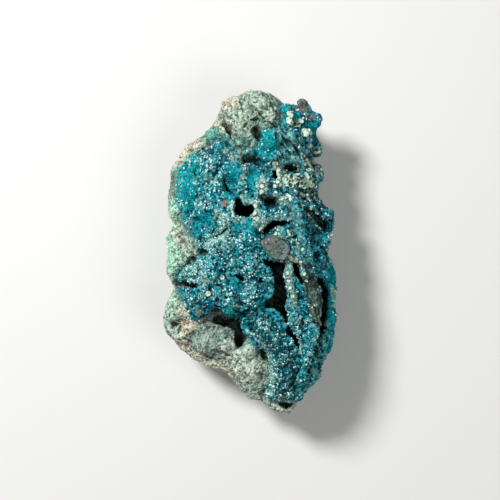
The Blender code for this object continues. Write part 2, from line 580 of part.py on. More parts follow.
def pit_lumps(grown=0.0):
    """The pits and clefts as ragged stacks of lumps. A pit widens a little below its mouth."""
    chance = random.Random(3)
    lumps = []
    for route, radius, floor in PITS.values():
        for x, y in along(route, PIT_STEP * radius):
            top = face_height(x, y) + PIT_MOUTH
            steps = max(2, math.ceil((top - floor) / (PIT_STEP * radius)))
            girth = radius * chance.uniform(0.8, 1.18)
            sway = chance.uniform(-PIT_SWAY, PIT_SWAY) * radius
            for i in range(steps + 1):
                height = floor + radius + (top - floor - radius) * i / steps
                belly = 1.0 + PIT_BELLY * math.sin(math.pi * min(1.0, i / steps * 1.3))
                across = girth * belly * chance.uniform(0.92, 1.1) + grown
                lumps.append(((x + sway, y - sway, height), (across, across, across), 0.0))
    return lumps


def fused_cutter(name, shape, home):
    """A hidden helper made of overlapping shapes, all fused where they meet."""
    cutter = mesh_object(name, shape, home)
    remesh = cutter.modifiers.new("Fuse", "REMESH")
    remesh.mode = "VOXEL"
    remesh.voxel_size = CUTTER_VOXEL * MM
    apply_modifiers(cutter)
    hide_helper(cutter)
    return cutter


def pit_cutter(home):
    shape = bmesh.new()
    add_lumps(shape, pit_lumps(), detail=1)
    return fused_cutter("pits", shape, home)


def bed_cutter(home):
    """What the rock makes room for: the crust with some clearance all round, and the pits."""
    shape = crust_shape(home, BED_CLEARANCE)
    for lobe in STUB_LOBES:
        add_stub_lobe(shape, lobe, BED_CLEARANCE)
    add_lumps(shape, pit_lumps(PIT_CLEARANCE), detail=1)
    return fused_cutter("crust_bed", shape, home)


def hide_helper(obj):
    obj.hide_render = True
    obj.display_type = "WIRE"


def floor_cutter(home):
    """A block whose top is the plane of the resting face."""
    shape = bmesh.new()
    size = Vector(FLOOR_CUTTER_SIZE) * MM
    down = Matrix.Translation((0.0, 0.0, -size.z / 2))
    bmesh.ops.create_cube(shape, size=1.0, matrix=down @ Matrix.Diagonal((*size, 1.0)))
    cutter = mesh_object("floor_cutter", shape, home)
    hide_helper(cutter)
    return cutter


def build_crust(home, cutters):
    crust = mesh_object("chrysocolla_crust", crust_shape(home), home)
    fuse(crust, FUSE_VOXEL, 1)
    combine(crust, "DIFFERENCE", pit_cutter(cutters))
    fuse(crust, FUSE_VOXEL, 1)
    thin_out(crust, CRUST_TRIANGLES)
    for lobe in stub_lobes(cutters):
        combine(crust, "UNION", lobe)
    crust.data.materials.clear()
    crust.data.materials.append(principled("chrysocolla", (0.010, 0.215, 0.290), 0.35))
    return crust


def build_rock(home, cutters):
    shape = shape_of(rock_slab(home))
    add_lumps(shape, rock_lumps())
    rock = mesh_object("host_rock", shape, home)
    fuse(rock, FUSE_VOXEL, 2)
    combine(rock, "DIFFERENCE", bed_cutter(cutters))
    fuse(rock, FUSE_VOXEL, 1)
    thin_out(rock, ROCK_TRIANGLES)
    combine(rock, "DIFFERENCE", floor_cutter(cutters))
    keep_largest_piece(rock)
    rock.data.materials.clear()
    rock.data.materials.append(principled("host_rock", (0.36, 0.42, 0.34), 0.85))
    return rock


def main():
    clear_scene()
    specimen = collection_named("chrysocolla_specimen")
    cutters = collection_named("cutters")
    build_rock(specimen, cutters)
    build_crust(specimen, cutters)


main()
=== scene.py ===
"""Dresses a chrysocolla hand specimen: its lumpy blue crust, the sparkling druse that grew on it,
its cream beads and the pale porous rock that carries them.

Plan positions in the tables are millimetres from the middle of the resting base, with X to the
right and Y up as the display face is seen from above.
"""

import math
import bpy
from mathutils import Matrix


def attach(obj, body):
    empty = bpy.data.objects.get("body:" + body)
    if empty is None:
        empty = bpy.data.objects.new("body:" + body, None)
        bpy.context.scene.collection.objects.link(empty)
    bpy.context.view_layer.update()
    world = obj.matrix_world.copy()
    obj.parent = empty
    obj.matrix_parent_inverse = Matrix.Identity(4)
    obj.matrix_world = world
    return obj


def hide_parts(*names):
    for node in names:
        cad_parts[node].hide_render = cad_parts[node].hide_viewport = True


bl_info = {
    "name": "Chrysocolla Specimen",
    "version": (1, 0, 0),
    "blender": (4, 5, 0),
    "location": "3D View > Sidebar > Specimen",
    "description": "Builds the looks of a chrysocolla hand specimen over its solids",
    "category": "Object",
}

import bmesh
import bpy
import numpy as np
from bpy.props import FloatProperty, FloatVectorProperty, IntProperty, PointerProperty
from bpy.types import Operator, Panel, PropertyGroup
from mathutils import Vector
from mathutils.bvhtree import BVHTree

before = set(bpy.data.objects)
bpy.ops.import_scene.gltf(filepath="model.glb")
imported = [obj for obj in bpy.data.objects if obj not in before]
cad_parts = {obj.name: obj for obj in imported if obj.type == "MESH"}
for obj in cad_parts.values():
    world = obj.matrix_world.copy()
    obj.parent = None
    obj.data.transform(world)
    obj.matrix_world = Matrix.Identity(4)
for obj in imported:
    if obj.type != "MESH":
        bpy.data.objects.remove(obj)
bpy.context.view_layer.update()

MM = 0.001
BODY = "root"
ROCK_NODE = "host_rock"
CRUST_NODE = "chrysocolla_crust"

# Where each tint or finish lies: routes over the plan, how far it reaches from them, and how
# strong it is. "sparkle" is where white crystals crowd, "smooth" is where few grow.

CRUST_ZONES = {
    "pale": (
        (((-7.3, 24.2), (-5.2, 23.3), (-3.0, 21.4)), 1.1, 0.30),
        (((-1.5, 22.0), (-0.6, 19.9)), 1.3, 0.65),
        (((-3.9, 10.6), (-3.0, 7.0)), 1.1, 0.50),
        (((1.3, 10.2), (1.3, 7.6), (2.6, 5.5)), 0.9, 0.85),
        (((2.6, 15.2), (2.6, 13.0), (3.9, 11.5), (7.1, 11.3)), 0.9, 0.80),
        (((5.6, 18.6), (6.7, 17.3), (7.1, 15.2)), 0.8, 0.90),
        (((8.0, -2.3), (8.2, -5.9), (9.0, -10.2)), 0.6, 0.85),
        (((3.2, 6.6), (5.4, 7.6), (8.2, 7.0)), 0.6, 0.70),
        (((6.9, 4.4),), 1.3, 0.50),
        (((7.5, -1.0), (10.8, -2.0)), 1.1, 0.60),
        (((9.2, 4.4), (10.1, 1.6), (10.8, -2.0), (11.6, -5.9), (12.3, -8.1)), 0.3, 0.90),
        (((-0.4, -16.7), (1.7, -18.6), (3.9, -21.4), (4.7, -24.0), (4.9, -27.4), (4.3, -30.4)), 0.4, 0.65),
        (((-14.4, -3.3), (-10.8, -5.1)), 1.7, 0.45),
        (((-9.7, 20.3), (-6.0, 19.5)), 1.7, 0.25),
        (((-8.2, 1.6), (-4.7, 2.7)), 1.5, 0.45),
        (((-6.9, 8.3), (-5.2, 7.0), (-6.0, 4.0), (-8.2, 2.7)), 1.1, 0.60),
        (((-9.0, 16.0), (-8.0, 15.6)), 0.8, 0.60),
        (((-11.0, 12.8), (-11.2, 10.2)), 0.6, 0.45),
        (((-4.7, 21.6), (-3.4, 20.3)), 0.9, 0.60),
        (((-0.9, 18.2), (-1.5, 15.6)), 0.8, 0.50),
        (((-1.5, 13.0), (-0.9, 10.6), (1.3, 10.0)), 0.6, 0.60),
        (((8.6, -10.2), (10.8, -14.9)), 1.3, 0.45),
        (((10.5, -16.7), (11.0, -21.0)), 0.6, 0.45),
        (((17.8, 3.8), (17.4, 1.0)), 0.6, 0.70),
        (((17.8, -7.6), (18.1, -11.5)), 0.5, 0.70),
        (((5.6, -32.1), (9.2, -32.6)), 0.9, 0.90),
        (((14.6, 22.0),), 1.1, 0.50),
        (((14.6, 17.3),), 1.3, 0.40),
        (((-1.5, 6.6), (1.3, 12.1)), 0.9, 0.40),
    ),
    "grey": (
        (((7.7, 25.0), (10.1, 20.3)), 1.9, 0.85),
        (((7.7, 19.5), (10.8, 19.0)), 1.3, 0.90),
        (((8.8, 10.9), (10.3, 6.6), (10.8, 3.5), (12.0, -0.8), (12.7, -4.8)), 1.3, 0.50),
    ),
    "olive": (
        (((12.9, -5.9), (13.9, -9.4), (14.6, -14.1)), 1.4, 1.00),
        (((12.0, 0.1), (12.5, -5.5)), 0.9, 0.50),
    ),
    "fold": (
        (((7.3, 25.5), (8.6, 22.5), (10.8, 19.9)), 2.1, 1.00),
        (((14.6, -15.8), (15.0, -18.8), (14.2, -21.8), (13.5, -26.1)), 1.7, 0.70),
    ),
    "tan": (
        (((-15.5, 19.0), (-14.4, 20.3), (-12.9, 21.8), (-10.8, 23.1), (-8.8, 24.6), (-7.7, 26.1)), 0.8, 0.95),
    ),
    "rind": (
        (((-17.0, 11.7), (-16.8, 14.7), (-15.9, 18.2)), 0.7, 0.95),
    ),
    "charcoal": (
        (((15.0, -15.4), (15.3, -18.4), (14.2, -21.4)), 0.6, 0.55),
        (((12.7, -2.9), (13.3, -5.5)), 0.9, 0.75),
    ),
    "mauve": (
        (((14.4, 17.5),), 1.1, 0.80),
        (((9.0, 10.0), (10.3, 6.6)), 0.9, 0.42),
        (((13.1, 29.2),), 0.7, 1.00),
        (((11.0, 31.8),), 1.4, 1.00),
        (((12.0, 30.6),), 0.6, 0.70),
        (((-8.0, -13.7), (-5.4, -14.5)), 1.3, 0.80),
        (((-12.3, 6.6),), 0.7, 0.50),
        (((-4.9, 15.6),), 0.9, 0.35),
        (((-3.7, 9.6),), 0.6, 0.40),
    ),
    "rust": (
        (((-10.3, -14.9), (-9.0, -15.2)), 0.6, 0.90),
        (((-5.8, 10.4),), 0.6, 0.85),
        (((6.0, 14.5),), 0.3, 0.75),
        (((-10.8, -12.8),), 0.6, 0.70),
        (((-11.6, -6.6), (-9.5, -6.8)), 0.5, 0.50),
    ),
    "bright": (
        (((15.5, -19.9), (14.6, -23.1), (13.3, -27.0)), 1.5, 0.40),
        (((-15.5, 17.7), (-15.0, 13.4), (-13.8, 11.3)), 1.9, 1.00),
        (((-12.5, 19.5),), 1.7, 0.50),
        (((-13.3, 14.9),), 1.5, 0.80),
        (((17.4, -5.5), (17.6, -10.2), (17.4, -16.7), (16.8, -21.4)), 0.9, 0.50),
        (((-12.0, 16.9), (-11.4, 13.9)), 1.5, 0.50),
        (((3.2, 24.8), (3.4, 21.6)), 1.7, 0.85),
        (((9.5, 29.6),), 1.1, 0.70),
        (((12.7, 27.0), (14.0, 27.0), (14.8, 28.3)), 0.9, 1.00),
        (((-2.8, 17.3),), 1.1, 0.40),
        (((1.3, 14.7),), 1.3, 0.50),
        (((-9.9, 7.0),), 1.1, 0.50),
        (((-11.4, 4.8),), 0.9, 0.60),
        (((-4.7, -13.0),), 1.1, 1.00),
        (((-1.1, 5.7),), 1.5, 0.25),
    ),
    "smooth": (
        (((-8.2, 22.9), (-4.3, 22.0)), 1.3, 0.50),
        (((-14.6, 17.3), (-13.8, 13.0)), 1.7, 0.85),
        (((-3.4, 18.6), (-2.8, 16.4)), 1.1, 0.95),
        (((-5.2, 11.9), (-4.1, 11.3)), 0.9, 0.80),
        (((0.4, 16.4), (1.7, 14.3)), 1.3, 0.80),
        (((-10.1, 7.2), (-9.0, 6.6)), 1.0, 0.70),
        (((10.2, 29.7),), 0.9, 0.90),
        (((12.7, 27.0), (14.0, 27.0), (14.8, 28.3)), 0.9, 1.00),
        (((11.0, 31.8),), 1.4, 0.90),
        (((17.2, -4.8), (17.4, -10.2), (17.2, -16.7), (17.0, -21.0)), 1.1, 1.00),
        (((6.7, 31.9), (6.5, 28.1)), 0.9, 0.80),
        (((-2.8, 5.5), (-0.9, 6.8), (0.6, 5.7)), 1.2, 0.70),
        (((-11.6, 5.1), (-11.0, 4.4)), 0.8, 0.85),
        (((3.9, 22.9),), 1.3, 0.60),
        (((3.0, 24.2), (3.4, 22.0)), 1.5, 0.70),
    ),
    "shade": (
        (((11.4, 30.2), (11.9, 28.7), (12.0, 27.2)), 0.2, 0.95),
        (((12.3, 28.5), (13.1, 28.1), (14.0, 28.3)), 0.2, 0.90),
        (((11.4, 27.0), (12.0, 27.4)), 0.4, 0.90),
        (((13.8, 7.2), (16.1, 5.7), (15.0, 4.6)), 1.1, 0.90),
        (((12.5, 8.5),), 0.9, 0.90),
        (((9.7, 24.0), (10.1, 23.1)), 0.3, 0.90),
        (((9.0, 22.0), (10.1, 21.0)), 0.3, 0.90),
        (((10.8, 16.0), (11.2, 15.7)), 0.3, 0.90),
        (((9.7, 14.0), (11.2, 13.4)), 0.3, 0.80),
        (((3.4, 11.1), (4.7, 9.8)), 1.1, 0.45),
        (((0.2, 20.3), (-0.9, 20.7)), 1.3, 0.60),
        (((13.1, 12.4), (14.4, 10.4)), 1.7, 0.40),
        (((7.3, 18.2), (9.9, 18.0)), 0.9, 1.00),
        (((1.7, 19.5), (3.9, 18.2)), 1.3, 0.60),
        (((14.4, 19.9),), 1.3, 0.80),
        (((-6.0, -14.1), (-3.9, -14.5)), 0.9, 1.00),
    ),
    "dusk": (
        (((-10.8, 22.9), (-7.7, 22.9), (-4.3, 21.6)), 1.9, 0.85),
        (((2.6, -17.1), (5.6, -20.1), (7.5, -24.8), (7.3, -30.0)), 2.6, 0.90),
        (((-1.1, -8.1), (2.6, -14.1)), 1.7, 0.40),
    ),
    "sparkle": (
        (((-10.1, 13.4), (-6.0, 9.6)), 2.4, 1.00),
        (((-3.9, 0.5), (1.3, -2.0), (0.9, -8.1)), 2.1, 0.40),
        (((4.3, -17.7), (8.2, -21.0), (7.3, -29.1)), 1.9, 0.40),
        (((10.3, -16.7), (11.2, -23.1)), 1.5, 0.70),
        (((-9.5, -3.8), (-12.9, -4.8)), 1.9, 0.60),
        (((-7.5, 1.6), (-4.7, 3.1)), 1.5, 0.70),
        (((1.1, 8.1), (2.6, 5.7)), 1.1, 0.90),
        (((-9.7, 19.0), (-6.0, 18.4)), 1.7, 0.25),
        (((-5.4, -8.1), (-9.7, -8.5)), 1.7, 0.50),
        (((4.3, 13.4), (2.6, 14.3)), 1.3, 0.70),
    ),
}

ROCK_ZONES = {
    "teal": (
        (((-8.6, 25.0), (-4.7, 23.3), (-1.7, 21.6)), 1.9, 0.85),
        (((1.7, 28.1), (3.9, 27.4), (6.9, 26.8)), 0.9, 0.55),
        (((-4.3, 25.0), (0.0, 22.9)), 1.3, 0.50),
        (((5.6, 31.9), (6.7, 27.6)), 0.6, 0.50),
        (((-0.9, -21.4), (1.7, -20.5), (2.6, -23.5)), 1.1, 0.35),
    ),
    "mint": (
        (((-16.3, 9.6), (-16.6, 7.4)), 1.9, 0.90),
        (((-16.6, 2.3), (-16.8, -3.3)), 1.7, 0.70),
        (((-16.1, -9.8), (-16.8, -12.8)), 1.9, 0.50),
        (((0.0, -21.0), (1.3, -24.2)), 1.7, 0.50),
        (((-15.9, 19.9), (-16.3, 13.4)), 0.9, 0.40),
    ),
    "tan": (
        (((-12.9, -12.4), (-12.5, -16.7), (-14.6, -19.9)), 1.9, 0.80),
        (((-13.8, -22.0), (-9.0, -24.8), (-4.7, -27.0)), 1.5, 0.60),
        (((-4.7, 31.7), (-3.4, 33.2)), 1.5, 0.60),
        (((-8.2, 27.2), (-11.6, 23.8), (-14.6, 21.6), (-16.1, 19.0)), 1.3, 0.60),
        (((-15.9, 4.4), (-15.0, 1.8)), 0.9, 0.50),
    ),
    "grey": (
        (((-10.3, -19.0), (-7.3, -18.8), (-3.9, -18.0)), 2.8, 0.90),
        (((-17.2, 17.3), (-17.8, 11.7)), 1.1, 0.70),
    ),
    "chalk": (
        (((-4.7, -21.4), (-2.1, -23.5), (1.3, -27.0)), 2.8, 0.75),
        (((4.3, -32.8), (9.0, -33.4)), 1.3, 0.60),
    ),
    "olive": (
        (((-12.9, 0.1), (-11.2, 0.1)), 1.7, 0.35),
        (((-6.7, 28.7), (-4.9, 27.0), (-3.9, 25.0)), 0.6, 0.70),
        (((1.1, 25.9),), 0.6, 0.90),
    ),
    "shade": (
        (((-7.3, -14.3), (-3.4, -14.7)), 0.6, 0.90),
        (((-1.9, -16.4), (-1.3, -18.2)), 0.8, 0.70),
        (((2.8, -21.4), (3.7, -24.0)), 0.4, 0.70),
        (((0.9, 26.8), (1.3, 24.6)), 0.4, 0.90),
    ),
}

# Cracks of the rock, laid out in the same way.
ROCK_CRACKS = (
    (((0.2, 28.6), (1.7, 28.7)), 0.24, 1.00),
    (((1.9, 30.0), (3.0, 28.8)), 0.21, 1.00),
    (((-2.1, 32.4), (-1.5, 30.4)), 0.26, 0.90),
    (((4.5, 32.4), (5.1, 30.4)), 0.24, 0.90),
    (((0.4, 31.5), (2.6, 29.8)), 0.15, 0.70),
    (((-5.2, 29.8), (-4.1, 28.7)), 0.30, 0.60),
    (((5.6, 30.6), (5.8, 28.9)), 0.17, 0.70),
    (((3.4, 28.3), (5.6, 27.0), (8.6, 26.6)), 0.19, 0.90),
    (((5.2, 26.8), (7.3, 25.5)), 0.19, 0.70),
    (((-4.3, 25.0), (-2.1, 22.5)), 0.17, 0.60),
    (((-0.6, 27.6), (-1.3, 26.8)), 0.19, 0.60),
    (((-3.0, 30.2), (-2.4, 28.5)), 0.17, 0.50),
    (((-8.0, -21.0), (-6.0, -21.4), (-4.3, -22.3)), 0.21, 0.70),
    (((-9.5, -22.3), (-7.3, -23.1)), 0.26, 0.70),
    (((-14.2, -18.4), (-12.9, -19.2)), 0.21, 0.80),
    (((0.6, -18.0), (2.1, -20.1), (3.0, -22.7)), 0.26, 0.80),
    (((-2.1, -22.7), (-3.4, -24.4)), 0.19, 0.60),
    (((-12.9, 0.1), (-11.6, -1.6)), 0.34, 0.90),
    (((-1.3, -25.7), (0.0, -28.3)), 0.17, 0.50),
)

# Cream beads: plan position and radius.
BEADS = (
    (8.3, 30.0, 0.42), (8.9, 29.5, 0.45), (8.4, 28.6, 0.72), (9.1, 28.2, 0.42), (9.5, 30.4, 0.40),
    (8.9, 30.5, 0.32), (9.8, 27.6, 0.50), (10.5, 27.5, 0.50), (11.2, 28.1, 0.46),
    (11.5, 28.9, 0.36), (9.1, 27.5, 0.36), (10.8, 28.4, 0.36), (10.1, 30.7, 0.30),
    (12.0, 25.7, 0.85), (11.4, 26.3, 0.40), (12.7, 26.3, 0.42), (13.3, 25.5, 0.42),
    (11.4, 24.8, 0.35), (13.2, 23.9, 0.36), (13.3, 23.0, 0.48), (12.8, 22.7, 0.30),
    (13.0, 21.7, 0.34), (11.9, 20.7, 0.32), (12.3, 19.8, 0.36), (12.6, 19.2, 0.30),
    (13.1, 18.7, 0.42), (12.0, 18.9, 0.34), (10.4, 18.5, 0.32), (14.0, 21.4, 0.34),
    (14.9, 21.5, 0.30), (8.9, 16.1, 0.72), (9.6, 16.2, 0.48), (8.6, 15.3, 0.42), (8.1, 14.8, 0.50),
    (8.8, 14.6, 0.60), (10.2, 15.4, 0.62), (9.7, 15.3, 0.38), (10.5, 14.6, 0.62),
    (11.3, 14.7, 0.72), (11.7, 14.1, 0.42), (11.4, 15.4, 0.46), (12.0, 15.6, 0.55),
    (12.0, 16.7, 0.48), (11.4, 16.6, 0.42), (12.5, 16.3, 0.42), (12.3, 16.0, 0.40),
    (10.4, 17.1, 0.50), (10.0, 17.8, 0.32), (9.3, 17.7, 0.32), (13.1, 14.9, 0.62),
    (13.5, 14.4, 0.50), (12.7, 14.3, 0.46), (12.9, 13.7, 0.46), (13.5, 15.3, 0.36),
    (12.7, 13.1, 0.40), (10.1, 13.0, 0.46), (9.7, 13.4, 0.32), (11.0, 12.5, 0.42),
    (11.5, 12.3, 0.32), (10.9, 11.8, 0.26), (11.1, 11.0, 0.36), (11.4, 10.1, 0.32),
    (12.6, 11.6, 0.30), (14.0, 12.5, 0.32), (14.0, 11.7, 0.30), (12.3, 12.4, 0.26),
    (5.4, 18.1, 0.42), (6.1, 17.9, 0.52), (5.7, 17.3, 0.42), (5.3, 19.0, 0.40), (5.9, 16.7, 0.42),
    (6.1, 16.0, 0.32), (5.9, 15.2, 0.34), (5.3, 14.3, 0.32), (7.3, 17.3, 0.32), (7.6, 16.7, 0.32),
    (7.4, 15.8, 0.42), (7.7, 15.2, 0.36), (6.5, 14.5, 0.28), (5.8, 19.2, 0.34), (12.7, 19.0, 0.36),
    (13.1, 18.0, 0.40), (12.4, 17.9, 0.36), (13.6, 17.7, 0.32), (15.4, 17.9, 0.30),
    (13.4, 16.3, 0.30), (13.5, 15.8, 0.30), (6.1, 11.5, 0.38), (6.7, 11.6, 0.38), (7.4, 11.8, 0.32),
    (8.0, 12.4, 0.28), (8.5, 12.1, 0.28), (8.5, 11.4, 0.28), (5.5, 13.1, 0.32), (5.4, 4.1, 0.42),
    (5.5, 3.5, 0.34), (6.1, 4.0, 0.30), (8.4, 3.9, 0.34), (8.3, 4.6, 0.28), (2.3, 5.3, 0.30),
    (8.6, -1.1, 0.34), (8.9, -1.7, 0.42), (8.2, -0.8, 0.30), (6.1, -1.7, 0.34), (6.7, -2.0, 0.32),
    (7.3, -1.6, 0.34), (7.7, -2.0, 0.30), (9.7, -2.0, 0.36), (10.2, -2.7, 0.34), (10.8, -3.3, 0.34),
    (10.0, -1.4, 0.32), (10.9, -2.1, 0.30), (8.9, 0.0, 0.30), (8.7, 0.9, 0.30), (10.2, 1.9, 0.34),
    (9.6, 2.6, 0.30), (9.4, 4.0, 0.28), (11.2, 0.8, 0.28), (1.1, 10.0, 0.38), (0.9, 8.5, 0.42),
    (1.5, 7.2, 0.42), (2.7, 5.7, 0.34), (2.6, 14.3, 0.36), (2.4, 13.1, 0.38), (3.1, 12.0, 0.34),
    (4.4, 11.4, 0.34), (-6.0, -5.3, 0.38), (-9.0, -8.9, 0.48), (11.6, -4.6, 0.28),
    (12.0, -6.1, 0.28), (8.2, -6.1, 0.28), (8.5, -7.6, 0.30), (9.2, -9.4, 0.30), (8.0, -4.4, 0.28),
)

# The stub's two lobes and the height of its flat end, as in the solids.
STUB_LOBES = (((4.1, 2.1), 1.6), ((5.6, 0.8), 2.0))
STUB_TOP = 22.0

# Where the display face is looked at from, and the level of its widest girth.
EYE = (0.0, 0.54, 362.0)
GIRTH = 12.0

# The way the folds and the streaks of the walls run over the plan, in radians from X.
FOLD_HEADING = -0.9
WALL_HEADING = -1.4

# The seam between the two solids is closed where it is narrower than this.
SEAM_REACH = 1.2 * MM

# The fibrous lens of the rock: its middle, its reach, and the point its fibres fan out from.
LENS_PLACE = (-7.0, -18.9)
LENS_REACH = (5.3, 3.4)
LENS_ROOT = (-11.6, -23.6)


def linear(red, green, blue):
    """A colour given in 8-bit steps, as the shader takes it."""
    share = np.array((red, green, blue)) / 255.0
    curve = np.where(share <= 0.04045, share / 12.92, ((share + 0.055) / 1.055) ** 2.4)
    return tuple(float(value) for value in curve)


def length_prop(label, words, value, low, high):
    return FloatProperty(
        name=label, description=words, default=value * MM, min=low * MM, max=high * MM,
        unit="LENGTH", subtype="DISTANCE", precision=5,
    )


def colour_prop(label, words, value):
    return FloatVectorProperty(
        name=label, description=words, default=linear(*value), min=0.0, max=1.0,
        size=3, subtype="COLOR",
    )


class RockSettings(PropertyGroup):
    fineness: length_prop("Fineness", "Grid that the rock's surface is made on", 0.28, 0.2, 1.0)
    relief: length_prop("Relief", "Height of the broken surface's roughness", 0.27, 0.0, 1.0)
    grain_height: length_prop("Grain Height", "Height of the fine grains", 0.10, 0.0, 0.5)
    pore_size: length_prop("Pore Size", "Distance between neighbouring pores", 0.85, 0.4, 3.0)
    pore_depth: length_prop("Pore Depth", "Depth of the pores", 0.32, 0.0, 1.0)
    sage: colour_prop("Sage", "Main colour of the rock", (150, 172, 156))
    mint: colour_prop("Mint", "Rock tinted by copper", (162, 214, 188))
    tan: colour_prop("Tan", "Rock tinted by iron", (200, 193, 170))
    grey: colour_prop("Grey", "Fibrous grey rock", (130, 154, 144))
    olive: colour_prop("Olive", "Weathered hollows", (104, 108, 78))
    teal: colour_prop("Teal", "Rock next to the crust", (82, 152, 138))
    chalk: colour_prop("Chalk", "Palest rock", (182, 200, 182))


class CrustSettings(PropertyGroup):
    fineness: length_prop("Fineness", "Grid that the crust's surface is made on", 0.22, 0.15, 1.0)
    lump_height: length_prop("Lump Height", "Height of the crust's unevenness", 0.28, 0.0, 1.0)
    bead_size: length_prop("Bead Size", "Distance between neighbouring beads", 1.40, 0.5, 3.0)
    bead_height: length_prop("Bead Height", "Height of the beads", 0.36, 0.0, 1.0)
    grain_size: length_prop("Grain Size", "Distance between the grains on a bead", 0.66, 0.3, 2.0)
    grain_height: length_prop("Grain Height", "Height of the grains", 0.17, 0.0, 0.5)
    blue: colour_prop("Blue", "Main colour of the crust", (2, 120, 136))
    deep_shade: colour_prop("Deep", "Crust between the beads", (0, 46, 62))
    bright: colour_prop("Bright", "Turquoise patches", (4, 152, 152))
    pale: colour_prop("Pale", "Sage bloom over the crust", (148, 184, 170))
    cream: colour_prop("Cream", "Cream beads", (208, 236, 212))
    grey: colour_prop("Grey", "Grey granular bands", (78, 142, 142))
    mauve: colour_prop("Mauve", "Broken ends and hollows", (122, 114, 116))
    rust: colour_prop("Rust", "Iron stains", (168, 122, 94))


class DruseSettings(PropertyGroup):
    blue_size: length_prop("Blue Size", "Width of a blue crystal", 0.46, 0.1, 1.0)
    blue_spacing: length_prop("Blue Spacing", "Least distance between blue crystals", 0.42, 0.1, 2.0)
    white_size: length_prop("White Size", "Width of a white crystal", 0.46, 0.1, 1.0)
    white_spacing: length_prop("White Spacing", "Least distance between white crystals", 0.29, 0.1, 2.0)
    seed: IntProperty(name="Seed", description="Picks another scatter of crystals", default=5)
    white: colour_prop("White", "White crystals", (212, 238, 230))


class StageSettings(PropertyGroup):
    distance: FloatProperty(
        name="Camera Distance", description="From the lens to the widest girth", default=0.35,
        min=0.1, max=2.0, unit="LENGTH", subtype="DISTANCE",
    )
    frame_width: length_prop("Frame Width", "What the picture spans at the girth", 107.5, 50.0, 300.0)
    key_power: FloatProperty(
        name="Key Power", description="Strength of the main soft light", default=3.6,
        min=0.0, max=100.0, unit="POWER", subtype="POWER",
    )
    floor_tone: colour_prop("Floor", "Colour of the plain floor", (214, 213, 210))


# Measuring.
def coordinates(mesh):
    flat = np.empty(len(mesh.vertices) * 3, dtype=np.float32)
    mesh.vertices.foreach_get("co", flat)
    return flat.reshape(-1, 3).astype(np.float64)


def normals(mesh):
    flat = np.empty(len(mesh.vertices) * 3, dtype=np.float32)
    mesh.vertex_normals.foreach_get("vector", flat)
    return flat.reshape(-1, 3).astype(np.float64)


def place_vertices(mesh, points):
    mesh.vertices.foreach_set("co", points.astype(np.float32).ravel())
    mesh.update()


def read_attribute(mesh, name):
    values = np.empty(len(mesh.vertices), dtype=np.float32)
    mesh.attributes[name].data.foreach_get("value", values)
    return values.astype(np.float64)


def write_attribute(mesh, name, values):
    attribute = mesh.attributes.get(name) or mesh.attributes.new(name, "FLOAT", "POINT")
    attribute.data.foreach_set("value", values.astype(np.float32))


def distance_to_route(route, x, y):
    """The distance in the plan from each point to a route, which may be a single point."""
    nearest = np.full(len(x), np.inf)
    ends = zip(route, route[1:]) if len(route) > 1 else ((route[0], route[0]),)
    for (ax, ay), (bx, by) in ends:
        dx, dy = bx - ax, by - ay
        length = dx * dx + dy * dy
        share = 0.0 if length == 0 else np.clip(((x - ax) * dx + (y - ay) * dy) / length, 0, 1)
        nearest = np.minimum(nearest, np.hypot(x - ax - share * dx, y - ay - share * dy))
    return nearest


def smooth_step(low, high, values):
    share = np.clip((values - low) / (high - low), 0.0, 1.0)
    return share * share * (3.0 - 2.0 * share)


def hashed(cell, seed):
    """A random number from 0 to 1 for each whole-numbered cell."""
    mixed = (cell[..., 0] * 73856093) ^ (cell[..., 1] * 19349663) ^ (cell[..., 2] * 83492791)
    mixed = (mixed ^ (seed * 668265263)) & 0x7FFFFFFF
    mixed = ((mixed ^ (mixed >> 13)) * 1274126177) & 0x7FFFFFFF
    mixed = ((mixed ^ (mixed >> 16)) * 1103515245) & 0x7FFFFFFF
    return ((mixed ^ (mixed >> 15)) & 0xFFFFF) / 0xFFFFF


def wander(points, scale, octaves=3, seed=0):
    """Smooth noise, mostly from -1 to 1, with features of about a scale in millimetres."""
    total = np.zeros(len(points))
    for octave in range(octaves):
        spots = points * 2.07**octave / scale + 17.3 * octave
        base = np.floor(spots).astype(np.int64)
        part = spots - base
        part = part * part * (3.0 - 2.0 * part)
        value = np.zeros(len(points))
        for corner in np.ndindex(2, 2, 2):
            weight = np.prod(np.where(np.array(corner) == 1, part, 1.0 - part), axis=1)
            value += weight * hashed(base + np.array(corner), seed * 13 + octave)
        total += (value * 2.0 - 1.0) * 0.5**octave
    return total * 1.25


def sway(points, scale, seed=0):
    """A smooth random step for each point."""
    return np.stack([wander(points, scale, 2, seed * 7 + axis + 50) for axis in range(3)], axis=1)


def cells(points, size, seed):
    """The distance to the nearest of scattered cell centres, as a share of the cell size, and a
    random number from 0 to 1 for the cell."""
    spots = points / size
    base = np.floor(spots).astype(np.int64)
    nearest = np.full(len(points), np.inf)
    tone = np.zeros(len(points))
    for step in np.ndindex(3, 3, 3):
        cell = base + np.array(step) - 1
        centre = cell + np.stack([hashed(cell, seed * 5 + axis) for axis in range(3)], axis=1)
        gap = np.linalg.norm(centre - spots, axis=1)
        closer = gap < nearest
        nearest = np.where(closer, gap, nearest)
        tone = np.where(closer, hashed(cell, seed * 5 + 3), tone)
    return nearest, tone


def dome(gap, reach):
    """The height of a round bead, by the distance from its middle."""
    return np.sqrt(np.clip(1.0 - (gap / reach) ** 2, 0.0, 1.0))


def as_seen(spots):
    """Where each point lines up, from the eye, with the level of the girth."""
    share = (EYE[2] - GIRTH) / (EYE[2] - spots[:, 2])
    return EYE[0] + (spots[:, 0] - EYE[0]) * share, EYE[1] + (spots[:, 1] - EYE[1]) * share


